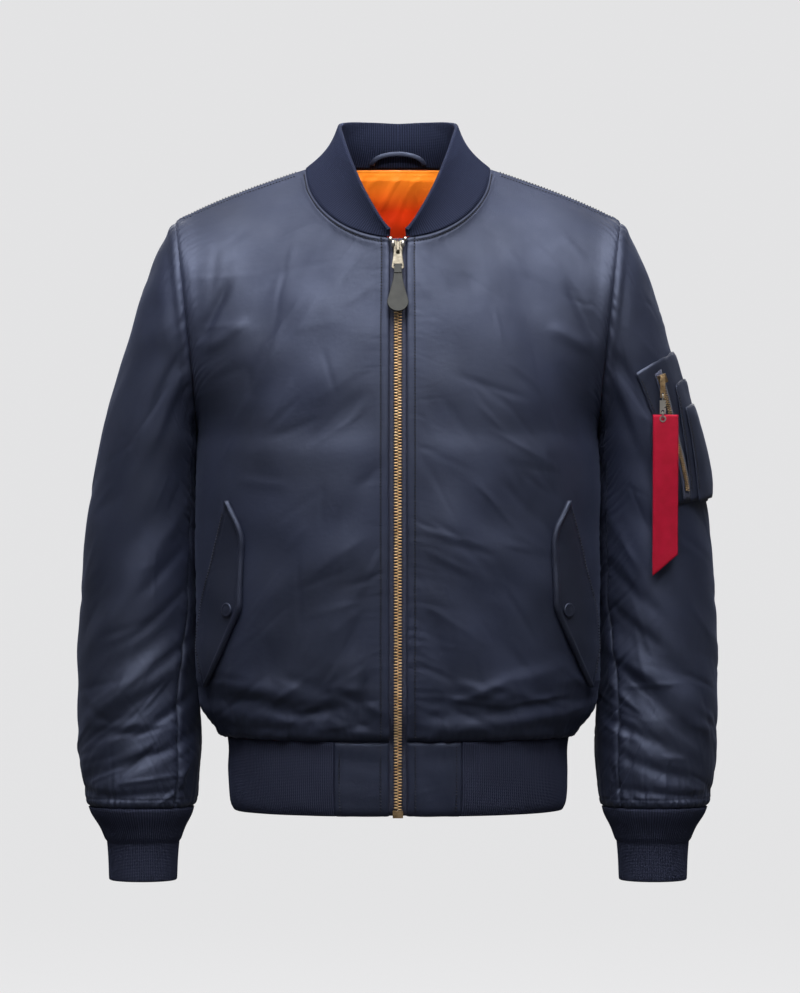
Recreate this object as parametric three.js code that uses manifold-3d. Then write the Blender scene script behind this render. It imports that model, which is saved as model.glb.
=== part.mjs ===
// A bomber jacket in the hollow form that it has when worn, in millimetres.
// +Z is up, the front faces -Y and +X is the wearer's left. The origin lies in the neck opening,
// level with the points where the shoulder seams meet the collar.
// Each piece is the one that a maker would cut: fronts, back, sleeves in two parts, ribbed collar,
// cuffs and hem, pocket flaps, sleeve pocket and the zips.

import * as THREE from "three";
import { mergeVertices } from "three/addons/utils/BufferGeometryUtils.js";
import Module from "manifold-3d";

const wasm = await Module();
wasm.setup();

// Driving sizes
const SHELL = 3; // nylon, wadding and lining together
const RIB = 4; // folded rib knit
const SEAM_GAP = 0.16; // each piece stops this far short of its seam
const HEM_Z = -659;
const HEM_SEAM_Z = -584;
const ARMPIT_Z = -268;
const SHOULDER = { x: 230, y: 4, z: -56 }; // the shoulder's end
const NECK = { halfWidth: 95, front: 104, back: 75, drop: 77, rise: 6 };
const ZIP_HALF_GAP = 8.5; // from the centre to a front's folded edge
const ARMHOLE_HALF_DEPTH = 75;
const FULLNESS = 8; // how far the rounded corners of the body stand out from an ellipse

// The body, level by level: half width, the centre lines' y at front and back, and the side seam's y.
const BODY = [
  { z: -659, half: 167, front: -127, back: 106, side: -10 },
  { z: -650, half: 171, front: -130, back: 110, side: -10 },
  { z: -620, half: 173, front: -132, back: 113, side: -10 },
  { z: -584, half: 174, front: -134, back: 114, side: -10 },
  { z: -574, half: 186, front: -138, back: 122, side: -10 },
  { z: -560, half: 198, front: -143, back: 129, side: -11 },
  { z: -540, half: 204, front: -146, back: 133, side: -12 },
  { z: -480, half: 206, front: -149, back: 134, side: -12 },
  { z: -400, half: 206, front: -151, back: 133, side: -12 },
  { z: -320, half: 206, front: -151, back: 132, side: -9 },
  { z: -268, half: 207, front: -148, back: 132, side: 0 },
  { z: -200, half: 207, front: -139, back: 131, side: 0 },
  { z: -140, half: 207, front: -126, back: 125, side: 0 },
  { z: -100, half: 207, front: -113, back: 117, side: 0 },
  { z: -77, half: 207, front: -104, back: 112, side: 0 },
  { z: -30, half: 207, front: -90, back: 94, side: 0 },
  { z: 6, half: 207, front: -80, back: 75, side: 0 },
];

// The sleeve, ring by ring: inner and outer point in front view, half depth, and the y of its middle.
const SLEEVE = [
  { innerX: 208.4, innerZ: -274, outerX: 247, outerZ: -86, half: 76, middle: 3 },
  { innerX: 209, innerZ: -281, outerX: 266, outerZ: -136, half: 77, middle: 6 },
  { innerX: 208, innerZ: -293, outerX: 283, outerZ: -192, half: 77, middle: 9 },
  { innerX: 207, innerZ: -314, outerX: 299, outerZ: -246, half: 76, middle: 12 },
  { innerX: 206, innerZ: -347, outerX: 312, outerZ: -302, half: 75, middle: 15 },
  { innerX: 206, innerZ: -395, outerX: 321, outerZ: -365, half: 74, middle: 18 },
  { innerX: 206, innerZ: -450, outerX: 327, outerZ: -438, half: 73, middle: 19 },
  { innerX: 206, innerZ: -508, outerX: 331, outerZ: -508, half: 72, middle: 17 },
  { innerX: 204, innerZ: -560, outerX: 331, outerZ: -566, half: 70, middle: 12 },
  { innerX: 203, innerZ: -604, outerX: 328, outerZ: -610, half: 67, middle: 6 },
  { innerX: 206, innerZ: -638, outerX: 323, outerZ: -640, half: 62, middle: 0 },
  { innerX: 210, innerZ: -656, outerX: 318, outerZ: -656, half: 57, middle: -3 },
];
const CUFF = [
  { z: -656.4, x: 264, half: 53.7, depth: 56.5, middle: -3 },
  { z: -664, x: 263.5, half: 51, depth: 53, middle: -4 },
  { z: -692, x: 262, half: 37.5, depth: 38, middle: -6 },
  { z: -728, x: 262, half: 35.3, depth: 34.5, middle: -8 },
  { z: -732, x: 262, half: 33.5, depth: 33, middle: -8 },
];

// The collar's upper edge, from the zip round to the nape, beside the neckline's angle.
const COLLAR_TOP = [
  { angle: 5, x: 10.5, y: -106.5, z: -70 },
  { angle: 20, x: 23, y: -97, z: -50 },
  { angle: 40, x: 38, y: -73, z: -21 },
  { angle: 60, x: 50, y: -43, z: 9 },
  { angle: 80, x: 58, y: -14, z: 33 },
  { angle: 100, x: 61.5, y: 14, z: 46 },
  { angle: 130, x: 54, y: 43, z: 51 },
  { angle: 155, x: 30, y: 61, z: 52 },
  { angle: 180, x: 0, y: 67, z: 51 },
];
const COLLAR_BOW = 5; // how far the collar's middle is drawn in
const COLLAR_SEAM_GAP = 0.3;

// The largest soft folds of each panel: where the middle lies in front or back view (for a sleeve, the
// angle round it and the ring), which way it runs, how long, how wide and how deep. Troughs are negative.
const FRONT_FOLDS = [
  { x: 160, z: -215, turn: -58, long: 150, wide: 17, deep: -5 },
  { x: 110, z: -180, turn: -40, long: 120, wide: 20, deep: 3 },
  { x: 120, z: -330, turn: -62, long: 190, wide: 26, deep: -4 },
  { x: 62, z: -420, turn: -75, long: 180, wide: 22, deep: 4 },
  { x: 95, z: -470, turn: -55, long: 150, wide: 20, deep: -4 },
  { x: 150, z: -548, turn: 8, long: 130, wide: 11, deep: -4 },
  { x: 70, z: -552, turn: -10, long: 90, wide: 10, deep: -3 },
];
const BACK_FOLDS = [
  { x: 165, z: -200, turn: -60, long: 170, wide: 18, deep: -5 },
  { x: -160, z: -210, turn: 58, long: 160, wide: 18, deep: -5 },
  { x: 60, z: -300, turn: -70, long: 200, wide: 26, deep: 4 },
  { x: -70, z: -340, turn: 66, long: 200, wide: 26, deep: -4 },
  { x: 110, z: -450, turn: -50, long: 150, wide: 20, deep: -4 },
  { x: -20, z: -548, turn: 4, long: 200, wide: 12, deep: -4 },
  { x: -140, z: -545, turn: -12, long: 110, wide: 11, deep: -4 },
];
// Sleeve folds by angle in degrees, from the armpit over the back, the outside and the front.
const SLEEVE_FOLDS = [
  { angle: 262, z: -560, turn: 34, long: 110, wide: 11, deep: -5 },
  { angle: 250, z: -600, turn: 28, long: 95, wide: 9, deep: -4 },
  { angle: 272, z: -500, turn: 36, long: 120, wide: 12, deep: -5 },
  { angle: 266, z: -530, turn: 30, long: 100, wide: 12, deep: 4 },
  { angle: 255, z: -400, turn: 52, long: 150, wide: 16, deep: -5 },
  { angle: 275, z: -300, turn: 65, long: 150, wide: 15, deep: -4 },
  { angle: 95, z: -540, turn: -34, long: 120, wide: 12, deep: -5 },
  { angle: 85, z: -470, turn: -38, long: 120, wide: 12, deep: -4 },
  { angle: 100, z: -360, turn: -55, long: 150, wide: 16, deep: -5 },
];

// Grids and ribs
const HALF_COLUMNS = 10; // of a front, and of each half of the back
const NECK_COLUMNS = 5; // those that end on the neckline
const LOWER_ROWS = 12;
const ARMHOLE_ROWS = 12; // each sleeve ring has twice as many points
const SLEEVE_ROWS = 18;
const SEAM_COLUMN = 2; // the sleeve's two seams lie this many points from the armpit
const COLLAR_RIBS = 34;
const HEM_RIBS = 50;
const CUFF_RIBS = 20;
const RIB_RELIEF = 0.9;

const V = (x, y, z) => new THREE.Vector3(x, y, z);
const radians = THREE.MathUtils.degToRad;
const lerp = THREE.MathUtils.lerp;
const range = (count) => Array.from({ length: count }, (_, i) => i);

// A smooth curve through a table's rows: key is read where the column `at` has the value `x`.
function curve(table, at, key, x) {
  const last = table.length - 1;
  const rising = table[last][at] > table[0][at];
  const past = (i) => (rising ? x > table[i + 1][at] : x < table[i + 1][at]);
  let i = 0;
  while (i < last - 1 && past(i)) i += 1;
  const slope = (j) => {
    const a = table[Math.max(j - 1, 0)];
    const b = table[Math.min(j + 1, last)];
    return (b[key] - a[key]) / (b[at] - a[at]);
  };
  const step = table[i + 1][at] - table[i][at];
  const t = THREE.MathUtils.clamp((x - table[i][at]) / step, 0, 1);
  const rise = table[i + 1][key] - table[i][key];
  const start = slope(i) * step;
  const end = slope(i + 1) * step;
  return table[i][key] + start * t + (3 * rise - 2 * start - end) * t ** 2 + (start + end - 2 * rise) * t ** 3;
}

// Materials
const cloth = (name, color, roughness) =>
  new THREE.MeshStandardMaterial({ name, color, roughness, metalness: 0, side: THREE.FrontSide });
const NYLON = cloth("nylon", 0x2b3048, 0.5);
const KNIT = cloth("rib_knit", 0x24283a, 0.9);
const LINING = cloth("lining", 0xe8621a, 0.45);
const TAPE = cloth("zip_tape", 0x20243a, 0.85);
const RED = cloth("ribbon", 0xa3152a, 0.6);
const LEATHER = cloth("pull_leather", 0x4a4c46, 0.6);
const BRASS = new THREE.MeshStandardMaterial({ name: "brass", color: 0xb08d57, roughness: 0.35, metalness: 1 });
const STEEL = new THREE.MeshStandardMaterial({ name: "steel", color: 0xb5b2a8, roughness: 0.3, metalness: 1 });

const jacket = new THREE.Group();
function add(name, geometry, material, parent = jacket) {
  const mesh = new THREE.Mesh(geometry, material);
  mesh.name = name;
  parent.add(mesh);
  return mesh;
}

// Adds a piece of the left side and its mirror on the right side.
function addPair(name, geometry, material) {
  add(name, geometry, material);
  add(name.replace("left", "right"), mirrored(geometry), material);
}

// Closed walls from grids of points. A grid is an array of rows, and a column step crossed with a row
// step points out of the garment.

// The outward direction at each point, from its neighbours. A closed grid joins its last column to its first.
function normalsOf(grid, closed = false) {
  const rows = grid.length;
  const columns = grid[0].length;
  const column = (j) => (closed ? (j + columns) % columns : THREE.MathUtils.clamp(j, 0, columns - 1));
  return grid.map((row, i) =>
    row.map((_, j) => {
      const along = V(0, 0, 0).subVectors(row[column(j + 1)], row[column(j - 1)]);
      const up = V(0, 0, 0).subVectors(grid[Math.min(i + 1, rows - 1)][j], grid[Math.max(i - 1, 0)][j]);
      return along.cross(up).normalize();
    }),
  );
}

const movedBy = (grid, normals, distance) =>
  grid.map((row, i) => row.map((p, j) => p.clone().addScaledVector(normals[i][j], distance)));

// Draws the outermost points of both faces back from the seams.
function drawBack(faces, sides, gap = SEAM_GAP) {
  const [outer] = faces;
  const rows = outer.length - 1;
  const columns = outer[0].length - 1;
  const edges = {
    low: range(columns + 1).map((j) => [0, j, 1, j]),
    high: range(columns + 1).map((j) => [rows, j, rows - 1, j]),
    start: range(rows + 1).map((i) => [i, 0, i, 1]),
    end: range(rows + 1).map((i) => [i, columns, i, columns - 1]),
  };
  const shifts = [];
  for (const side of sides)
    for (const [i, j, k, l] of edges[side])
      shifts.push([i, j, V(0, 0, 0).subVectors(outer[k][l], outer[i][j]).setLength(gap)]);
  for (const [i, j, shift] of shifts) for (const face of faces) face[i][j].add(shift);
}

// The closed geometry between an outer and an inner grid.
function wallGeometry(outer, inner, closed = false) {
  const rows = outer.length;
  const columns = outer[0].length;
  const points = [...outer.flat(), ...inner.flat()];
  const at = (face, i, j) => face * rows * columns + i * columns + (j % columns);
  const indices = [];
  const quad = (a, b, c, d) => indices.push(a, b, c, a, c, d);
  const lastColumn = closed ? columns : columns - 1;
  for (let i = 0; i < rows - 1; i += 1)
    for (let j = 0; j < lastColumn; j += 1) {
      quad(at(0, i, j), at(0, i, j + 1), at(0, i + 1, j + 1), at(0, i + 1, j));
      quad(at(1, i, j), at(1, i + 1, j), at(1, i + 1, j + 1), at(1, i, j + 1));
    }
  for (let j = 0; j < lastColumn; j += 1) {
    quad(at(0, 0, j), at(1, 0, j), at(1, 0, j + 1), at(0, 0, j + 1));
    quad(at(0, rows - 1, j), at(0, rows - 1, j + 1), at(1, rows - 1, j + 1), at(1, rows - 1, j));
  }
  if (!closed)
    for (let i = 0; i < rows - 1; i += 1) {
      quad(at(0, i, 0), at(0, i + 1, 0), at(1, i + 1, 0), at(1, i, 0));
      quad(at(0, i, columns - 1), at(1, i, columns - 1), at(1, i + 1, columns - 1), at(0, i + 1, columns - 1));
    }
  const geometry = new THREE.BufferGeometry();
  geometry.setAttribute("position", new THREE.Float32BufferAttribute(points.flatMap((p) => p.toArray()), 3));
  geometry.setIndex(indices);
  geometry.computeVertexNormals();
  return geometry;
}

// The same piece for the other side of the body: its points mirrored and its faces turned round again.
function mirrored(geometry) {
  const made = geometry.clone().scale(-1, 1, 1);
  const index = made.index.array;
  for (let i = 0; i < index.length; i += 3) [index[i + 1], index[i + 2]] = [index[i + 2], index[i + 1]];
  made.computeVertexNormals();
  return made;
}

// A point of a grid between its points, at a row and a column that need not be whole.
function sample(grid, row, column) {
  const i = Math.min(Math.max(Math.floor(row), 0), grid.length - 2);
  const j = Math.min(Math.max(Math.floor(column), 0), grid[0].length - 2);
  const low = grid[i][j].clone().lerp(grid[i][j + 1], column - j);
  const high = grid[i + 1][j].clone().lerp(grid[i + 1][j + 1], column - j);
  return low.lerp(high, row - i);
}

// A path's points spread evenly along its length.
function evenly(path, count) {
  const lengths = [0];
  for (let i = 1; i < path.length; i += 1) lengths.push(lengths[i - 1] + path[i].distanceTo(path[i - 1]));
  let i = 0;
  return range(count + 1).map((n) => {
    const wanted = (lengths.at(-1) * n) / count;
    while (i < path.length - 2 && lengths[i + 1] < wanted) i += 1;
    const share = (wanted - lengths[i]) / (lengths[i + 1] - lengths[i]);
    return path[i].clone().lerp(path[i + 1], share);
  });
}

// How far the folds of a table move a point: each is a soft trough or ridge along a line.
function foldDepth(folds, across, height) {
  let depth = 0;
  for (const fold of folds) {
    const turn = radians(fold.turn);
    const dx = across - fold.x;
    const dz = height - fold.z;
    const along = dx * Math.cos(turn) + dz * Math.sin(turn);
    const beside = -dx * Math.sin(turn) + dz * Math.cos(turn);
    depth += fold.deep * Math.exp(-((beside / fold.wide) ** 2)) * Math.exp(-((along / (0.5 * fold.long)) ** 4));
  }
  return depth;
}

// The body's surface

// A point of a half panel's row, from the centre line at share 0 to the side or armhole at share 1.
// It is the part of an ellipse that turns by `turn` degrees, filled out a little at the corner.
function rowPoint(centre, side, turn, share, facing) {
  const whole = radians(turn);
  const angle = whole * share;
  const out = Math.sin(angle) / Math.sin(whole);
  const back = (Math.cos(angle) - Math.cos(whole)) / (1 - Math.cos(whole));
  const full = FULLNESS * Math.sin(Math.PI * share);
  return V(
    lerp(centre.x, side.x, out) + full * Math.sin(angle),
    lerp(side.y, centre.y, back) + facing * full * Math.cos(angle),
    lerp(centre.z, side.z, share),
  );
}

// The armhole's edge, from the armpit at share 0 to the shoulder at share 1.
function armholePoint(share, facing) {
  const angle = Math.PI * share;
  const middleX = (SHOULDER.x + 207) / 2;
  const middleZ = (SHOULDER.z + ARMPIT_Z) / 2;
  return V(
    middleX - (SHOULDER.x - middleX) * Math.cos(angle) - 4 * Math.sin(angle),
    (SHOULDER.y / 2) * (1 - Math.cos(angle)) + facing * ARMHOLE_HALF_DEPTH * Math.sin(angle),
    middleZ - (SHOULDER.z - middleZ) * Math.cos(angle),
  );
}

// The neckline by angle, from the zip at 0 degrees round to the nape at 180.
function neckPoint(angle) {
  const c = Math.cos(radians(angle));
  return V(
    NECK.halfWidth * Math.sin(radians(angle)),
    -(c > 0 ? NECK.front : NECK.back) * c,
    -(c > 0 ? NECK.drop : NECK.rise) * c,
  );
}
const ZIP_ANGLE = THREE.MathUtils.radToDeg(Math.asin(ZIP_HALF_GAP / NECK.halfWidth));
const firstAngle = (facing) => (facing < 0 ? ZIP_ANGLE : 180);

// The neckline as the fronts and the back have it, straight from column to column.
function neckEdge(angle) {
  const first = firstAngle(angle < 90 ? -1 : 1);
  const at = (NECK_COLUMNS * (angle - first)) / (90 - first);
  const i = Math.min(Math.floor(at), NECK_COLUMNS - 1);
  const corner = (n) => neckPoint(lerp(first, 90, n / NECK_COLUMNS));
  return corner(i).lerp(corner(i + 1), at - i);
}

// The top edge of a half panel: the neckline to the shoulder point, then the shoulder seam.
function topPoint(share, facing) {
  const neckShare = NECK_COLUMNS / HALF_COLUMNS;
  if (share <= neckShare) return neckPoint(lerp(firstAngle(facing), 90, share / neckShare));
  const along = (share - neckShare) / (1 - neckShare);
  const out = Math.sin(radians(60 * along)) / Math.sin(radians(60));
  return V(lerp(NECK.halfWidth, SHOULDER.x, out), SHOULDER.y * along, SHOULDER.z * along);
}

// A level of the body: centre line and side seam.
function level(z, facing) {
  const y = curve(BODY, "z", facing < 0 ? "front" : "back", z);
  const centreX = facing < 0 ? ZIP_HALF_GAP : 0;
  return [V(centreX, y, z), V(curve(BODY, "z", "half", z), curve(BODY, "z", "side", z), z)];
}

// Half of a front (facing -1) or of the back (facing 1), for x above 0: rows rise from the hem seam.
function halfPanel(facing) {
  const lower = range(LOWER_ROWS).map((i) => {
    const z = lerp(HEM_SEAM_Z, ARMPIT_Z, i / LOWER_ROWS);
    const [centre, side] = level(z, facing);
    return range(HALF_COLUMNS + 1).map((j) => rowPoint(centre, side, 90, j / HALF_COLUMNS, facing));
  });
  const topZ = topPoint(0, facing).z;
  const upperRow = (share) => {
    const [centre] = level(lerp(ARMPIT_Z, topZ, share), facing);
    if (share === 1) centre.copy(topPoint(0, facing));
    const side = armholePoint(share, facing);
    const turn = 90 - 30 * share;
    return range(HALF_COLUMNS + 1).map((j) => rowPoint(centre, side, turn, j / HALF_COLUMNS, facing));
  };
  const virtualTop = upperRow(1);
  const upper = range(ARMHOLE_ROWS + 1).map((i) => {
    const share = i / ARMHOLE_ROWS;
    return upperRow(share).map((p, j) => {
      const lift = topPoint(j / HALF_COLUMNS, facing).sub(virtualTop[j]);
      return p.addScaledVector(lift, share ** 2);
    });
  });
  return [...lower, ...upper];
}

// Moves each point that isn't on an edge towards the middle of its neighbours.
function relaxed(grid, passes, firstRow) {
  let now = grid;
  for (let n = 0; n < passes; n += 1)
    now = now.map((row, i) =>
      row.map((p, j) => {
        if (i < firstRow || i === grid.length - 1 || j === 0 || j === row.length - 1) return p.clone();
        const middle = V(0, 0, 0);
        for (const q of [now[i - 1][j], now[i + 1][j], row[j - 1], row[j + 1]]) middle.addScaledVector(q, 0.25);
        return p.clone().lerp(middle, 0.5);
      }),
    );
  return now;
}

// Puts a table's folds into a panel, fading to nothing at its edges.
function folded(grid, folds) {
  const normals = normalsOf(grid);
  const rows = grid.length - 1;
  const columns = grid[0].length - 1;
  return grid.map((row, i) =>
    row.map((p, j) => {
      const fade = Math.min(1, i / 1.5, (rows - i) / 3, j / 1.5, (columns - j) / 2);
      return p.clone().addScaledVector(normals[i][j], Math.max(0, fade) * foldDepth(folds, p.x, p.z));
    }),
  );
}

const RELAX_PASSES = 6;
const frontHalf = relaxed(halfPanel(-1), RELAX_PASSES, LOWER_ROWS);
const backHalf = halfPanel(1);
// The back's columns run from the wearer's left to the right, so that they face out.
const wholeBack = backHalf.map((row) => {
  const right = row.slice(1).map((p) => V(-p.x, p.y, p.z));
  return [...row.slice().reverse(), ...right];
});
const frontLeft = folded(frontHalf, FRONT_FOLDS);
const backGrid = folded(relaxed(wholeBack, RELAX_PASSES, LOWER_ROWS), BACK_FOLDS);

// The seam's own outward direction round the armhole: down at the armpit, out at the shoulder.
function armholeNormal(share, facing) {
  const angle = Math.PI * share;
  return V(0.35 - 0.35 * Math.cos(angle), facing * Math.sin(angle), -Math.cos(angle)).normalize();
}

// The same round the neckline, by the neckline's angle.
function neckNormal(angle) {
  const turn = radians(angle);
  return V(0.6 * Math.sin(turn), -0.9 * Math.cos(turn), 0.15 + 0.65 * Math.sin(0.6 * turn)).normalize();
}

const frontNormals = normalsOf(frontLeft);
const backNormals = normalsOf(backGrid);
const BACK_COLUMNS = 2 * HALF_COLUMNS;
const TOP_ROW = LOWER_ROWS + ARMHOLE_ROWS;

// Both pieces of a seam share one direction at it, so that their edges lie face to face.
function shareNormals(a, b) {
  const middle = a.clone().add(b).normalize();
  a.copy(middle);
  b.copy(middle);
}
const flipped = (n) => V(-n.x, n.y, n.z);
for (let i = 0; i <= LOWER_ROWS; i += 1) shareNormals(frontNormals[i][HALF_COLUMNS], backNormals[i][0]);
for (let j = 0; j <= NECK_COLUMNS; j += 1) {
  frontNormals[TOP_ROW][j] = neckNormal(lerp(ZIP_ANGLE, 90, j / NECK_COLUMNS));
  backNormals[TOP_ROW][HALF_COLUMNS - j] = neckNormal(lerp(180, 90, j / NECK_COLUMNS));
}
for (let j = NECK_COLUMNS + 1; j <= HALF_COLUMNS; j += 1)
  shareNormals(frontNormals[TOP_ROW][j], backNormals[TOP_ROW][HALF_COLUMNS - j]);
for (let i = 0; i <= ARMHOLE_ROWS; i += 1) {
  frontNormals[LOWER_ROWS + i][HALF_COLUMNS] = armholeNormal(i / ARMHOLE_ROWS, -1);
  backNormals[LOWER_ROWS + i][0] = armholeNormal(i / ARMHOLE_ROWS, 1);
}
for (let i = 0; i <= TOP_ROW; i += 1) backNormals[i][BACK_COLUMNS] = flipped(backNormals[i][0]);
for (let j = HALF_COLUMNS + 1; j < BACK_COLUMNS; j += 1)
  backNormals[TOP_ROW][j] = flipped(backNormals[TOP_ROW][BACK_COLUMNS - j]);

// Adds one wall piece from its outer points: inner points, drawn back seams, and its mirror if it has one.
function addWall(name, outer, normals, thickness, material, sides) {
  const faces = [outer.map((row) => row.map((p) => p.clone())), movedBy(outer, normals, -thickness)];
  drawBack(faces, sides);
  if (name.includes("left")) addPair(name, wallGeometry(...faces), material);
  else add(name, wallGeometry(...faces), material);
}
const ALL_SEAMS = ["low", "high", "end"];
addWall("front_left", frontLeft, frontNormals, SHELL, NYLON, ALL_SEAMS);
addWall("back", backGrid, backNormals, SHELL, NYLON, [...ALL_SEAMS, "start"]);

// The lining shows through the neck opening, against the upper back.
const LINING_GAP = 0.7;
const LINING_THICK = 1;
const LINING_ROWS = 7;
const LINING_TRIM = 5; // columns left off at each side
const liningPart = (grid) =>
  grid.slice(TOP_ROW - LINING_ROWS).map((row) => row.slice(LINING_TRIM, BACK_COLUMNS + 1 - LINING_TRIM));
const liningOuter = liningPart(movedBy(backGrid, backNormals, -SHELL - LINING_GAP));
addWall("lining_back", liningOuter, liningPart(backNormals), LINING_THICK, LINING, ["high"]);

// Sleeves

// A ring's point by angle, from the armpit over the back and the outside to the front.
function ringPoint(ring, angle) {
  const share = (1 - Math.cos(angle)) / 2;
  return V(
    lerp(ring.innerX, ring.outerX, share),
    ring.middle + ring.half * Math.sin(angle),
    lerp(ring.innerZ, ring.outerZ, share),
  );
}
const RING_POINTS = 2 * ARMHOLE_ROWS;
const ringAngle = (j) => (2 * Math.PI * j) / RING_POINTS;
const sleeveRings = SLEEVE.map((ring, at) => ({ ...ring, at: at + 1 }));
const armholeRing = range(RING_POINTS).map((j) => {
  const share = j <= ARMHOLE_ROWS ? j / ARMHOLE_ROWS : (RING_POINTS - j) / ARMHOLE_ROWS;
  return armholePoint(share, j <= ARMHOLE_ROWS ? 1 : -1);
});
const sleeveKeys = ["innerX", "innerZ", "outerX", "outerZ", "half", "middle"];
const EXTRA_RINGS = SLEEVE_ROWS - 1;
const plainSleeve = [
  armholeRing,
  ...range(EXTRA_RINGS + 1).map((i) => {
    const at = lerp(1, SLEEVE.length, i / EXTRA_RINGS);
    const ring = Object.fromEntries(sleeveKeys.map((key) => [key, curve(sleeveRings, "at", key, at)]));
    return range(RING_POINTS).map((j) => ringPoint(ring, ringAngle(j)));
  }),
];
const MM_PER_DEGREE = 1.15; // round a sleeve
const plainSleeveNormals = normalsOf(plainSleeve, true);
const sleeveFolds = SLEEVE_FOLDS.map((fold) => ({ ...fold, x: fold.angle * MM_PER_DEGREE }));
const sleeveLeft = plainSleeve.map((row, i) =>
  row.map((p, j) => {
    const across = THREE.MathUtils.radToDeg(ringAngle(j)) * MM_PER_DEGREE;
    const fade = Math.min(1, i / 3, (SLEEVE_ROWS - i) / 2);
    return p.clone().addScaledVector(plainSleeveNormals[i][j], fade * foldDepth(sleeveFolds, across, p.z));
  }),
);
const sleeveNormals = normalsOf(sleeveLeft, true);
for (let j = 0; j < RING_POINTS; j += 1) {
  const share = j <= ARMHOLE_ROWS ? j / ARMHOLE_ROWS : (RING_POINTS - j) / ARMHOLE_ROWS;
  sleeveNormals[0][j] = armholeNormal(share, j <= ARMHOLE_ROWS ? 1 : -1);
}
// Columns of a ring from one to another, passing over the ring's first point where last is past its end.
const columnsOf = (grid, first, last) =>
  grid.map((row) => range(last - first + 1).map((n) => row[(first + n) % RING_POINTS]));
const sleeveSides = ["low", "high", "start", "end"];
for (const [part, first, last] of [
  ["top", SEAM_COLUMN, RING_POINTS - SEAM_COLUMN],
  ["under", RING_POINTS - SEAM_COLUMN, RING_POINTS + SEAM_COLUMN],
]) {
  const outer = columnsOf(sleeveLeft, first, last);
  const normals = columnsOf(sleeveNormals, first, last);
  addWall(`sleeve_left_${part}`, outer, normals, SHELL, NYLON, sleeveSides);
}

// Ribbed pieces

// Raises every second column of a rib knit's outer points, fading out towards its edges.
function ribbed(grid, normals) {
  const last = grid.length - 1;
  return grid.map((row, i) =>
    row.map((p, j) => {
      const raised = j % 2 === 1 && i > 0 && i < last ? RIB_RELIEF : 0;
      return p.clone().addScaledVector(normals[i][j], raised);
    }),
  );
}

const neckCosine = (y) => -y / (y < 0 ? NECK.front : NECK.back);
const COLLAR_PATH = 90;
const COLLAR_HEIGHTS = [0, 0.06, 0.5, 0.95, 1];
const collarSide = (angle) => (angle <= 180 ? 1 : -1);
function collarPoint(angle, height) {
  const own = angle <= 180 ? angle : 360 - angle;
  const low = neckEdge(own);
  const high = V(...["x", "y", "z"].map((key) => curve(COLLAR_TOP, "angle", key, own)));
  const rise = V(0, 0, 0).subVectors(high, low);
  low.addScaledVector(rise.clone().normalize(), COLLAR_SEAM_GAP);
  const point = low.lerp(high, height);
  const inward = V(-Math.sin(radians(own)), Math.cos(radians(own)), -0.3).normalize();
  const bow = COLLAR_BOW * Math.sin(Math.PI * height) * Math.min(1, own / 45);
  point.addScaledVector(inward, bow);
  point.x *= collarSide(angle);
  return point;
}
const collarBase = COLLAR_HEIGHTS.map((height) => {
  const angles = range(COLLAR_PATH + 1).map((n) => lerp(ZIP_ANGLE, 360 - ZIP_ANGLE, n / COLLAR_PATH));
  const path = angles.map((angle) => collarPoint(angle, height));
  return evenly(path, 2 * COLLAR_RIBS);
});
const collarNormals = normalsOf(collarBase);
collarBase[0].forEach((p, n) => {
  const angle = THREE.MathUtils.radToDeg(Math.atan2(Math.abs(p.x) / NECK.halfWidth, neckCosine(p.y)));
  collarNormals[0][n] = neckNormal(angle);
  if (p.x < 0) collarNormals[0][n].x *= -1;
});
const collarInner = movedBy(collarBase, collarNormals, -RIB);
add("collar", wallGeometry(ribbed(collarBase, collarNormals), collarInner), KNIT);

// The hem goes on down from the body. A plain nylon block joins it to the zip at each front.
const BLOCK_SHARE = 0.215;
const BLOCK_COLUMNS = 3;
const HEM_LEVELS = [HEM_Z, -652, -604, -592, HEM_SEAM_Z];
const hemPoint = (z, share, facing) => rowPoint(...level(z, facing), 90, share, facing);
const blockGrid = HEM_LEVELS.map((z) =>
  range(BLOCK_COLUMNS + 1).map((j) => hemPoint(z, (BLOCK_SHARE * j) / BLOCK_COLUMNS, -1)),
);
const blockNormals = normalsOf(blockGrid);
addWall("hem_block_left", blockGrid, blockNormals, SHELL, NYLON, ["high", "end"]);
const HEM_PATH = 60;
const hemBase = HEM_LEVELS.map((z) => {
  const front = range(HEM_PATH + 1).map((n) => hemPoint(z, lerp(BLOCK_SHARE, 1, n / HEM_PATH), -1));
  const back = range(HEM_PATH).map((n) => hemPoint(z, 1 - (n + 1) / HEM_PATH, 1));
  const half = [...front, ...back];
  const other = half.slice(0, -1).map((p) => V(-p.x, p.y, p.z));
  return evenly([...half, ...other.reverse()], 2 * HEM_RIBS);
});
const hemNormals = normalsOf(hemBase);
const hemFaces = [ribbed(hemBase, hemNormals), movedBy(hemBase, hemNormals, -RIB)];
drawBack(hemFaces, ["high", "start", "end"]);
add("hem_rib", wallGeometry(...hemFaces), KNIT);

// A cuff's rings rise, so its columns run the other way round from a sleeve's.
const CUFF_PATH = 72;
const cuffBase = [...CUFF].reverse().map((ring) => {
  const path = range(CUFF_PATH + 1).map((n) => {
    const angle = (2 * Math.PI * n) / CUFF_PATH;
    return V(ring.x - ring.half * Math.cos(angle), ring.middle - ring.depth * Math.sin(angle), ring.z);
  });
  return evenly(path, 2 * CUFF_RIBS).slice(0, -1);
});
const cuffNormals = normalsOf(cuffBase, true);
const cuffFaces = [ribbed(cuffBase, cuffNormals), movedBy(cuffBase, cuffNormals, -RIB)];
addPair("cuff_left", wallGeometry(...cuffFaces, true), KNIT);

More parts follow.
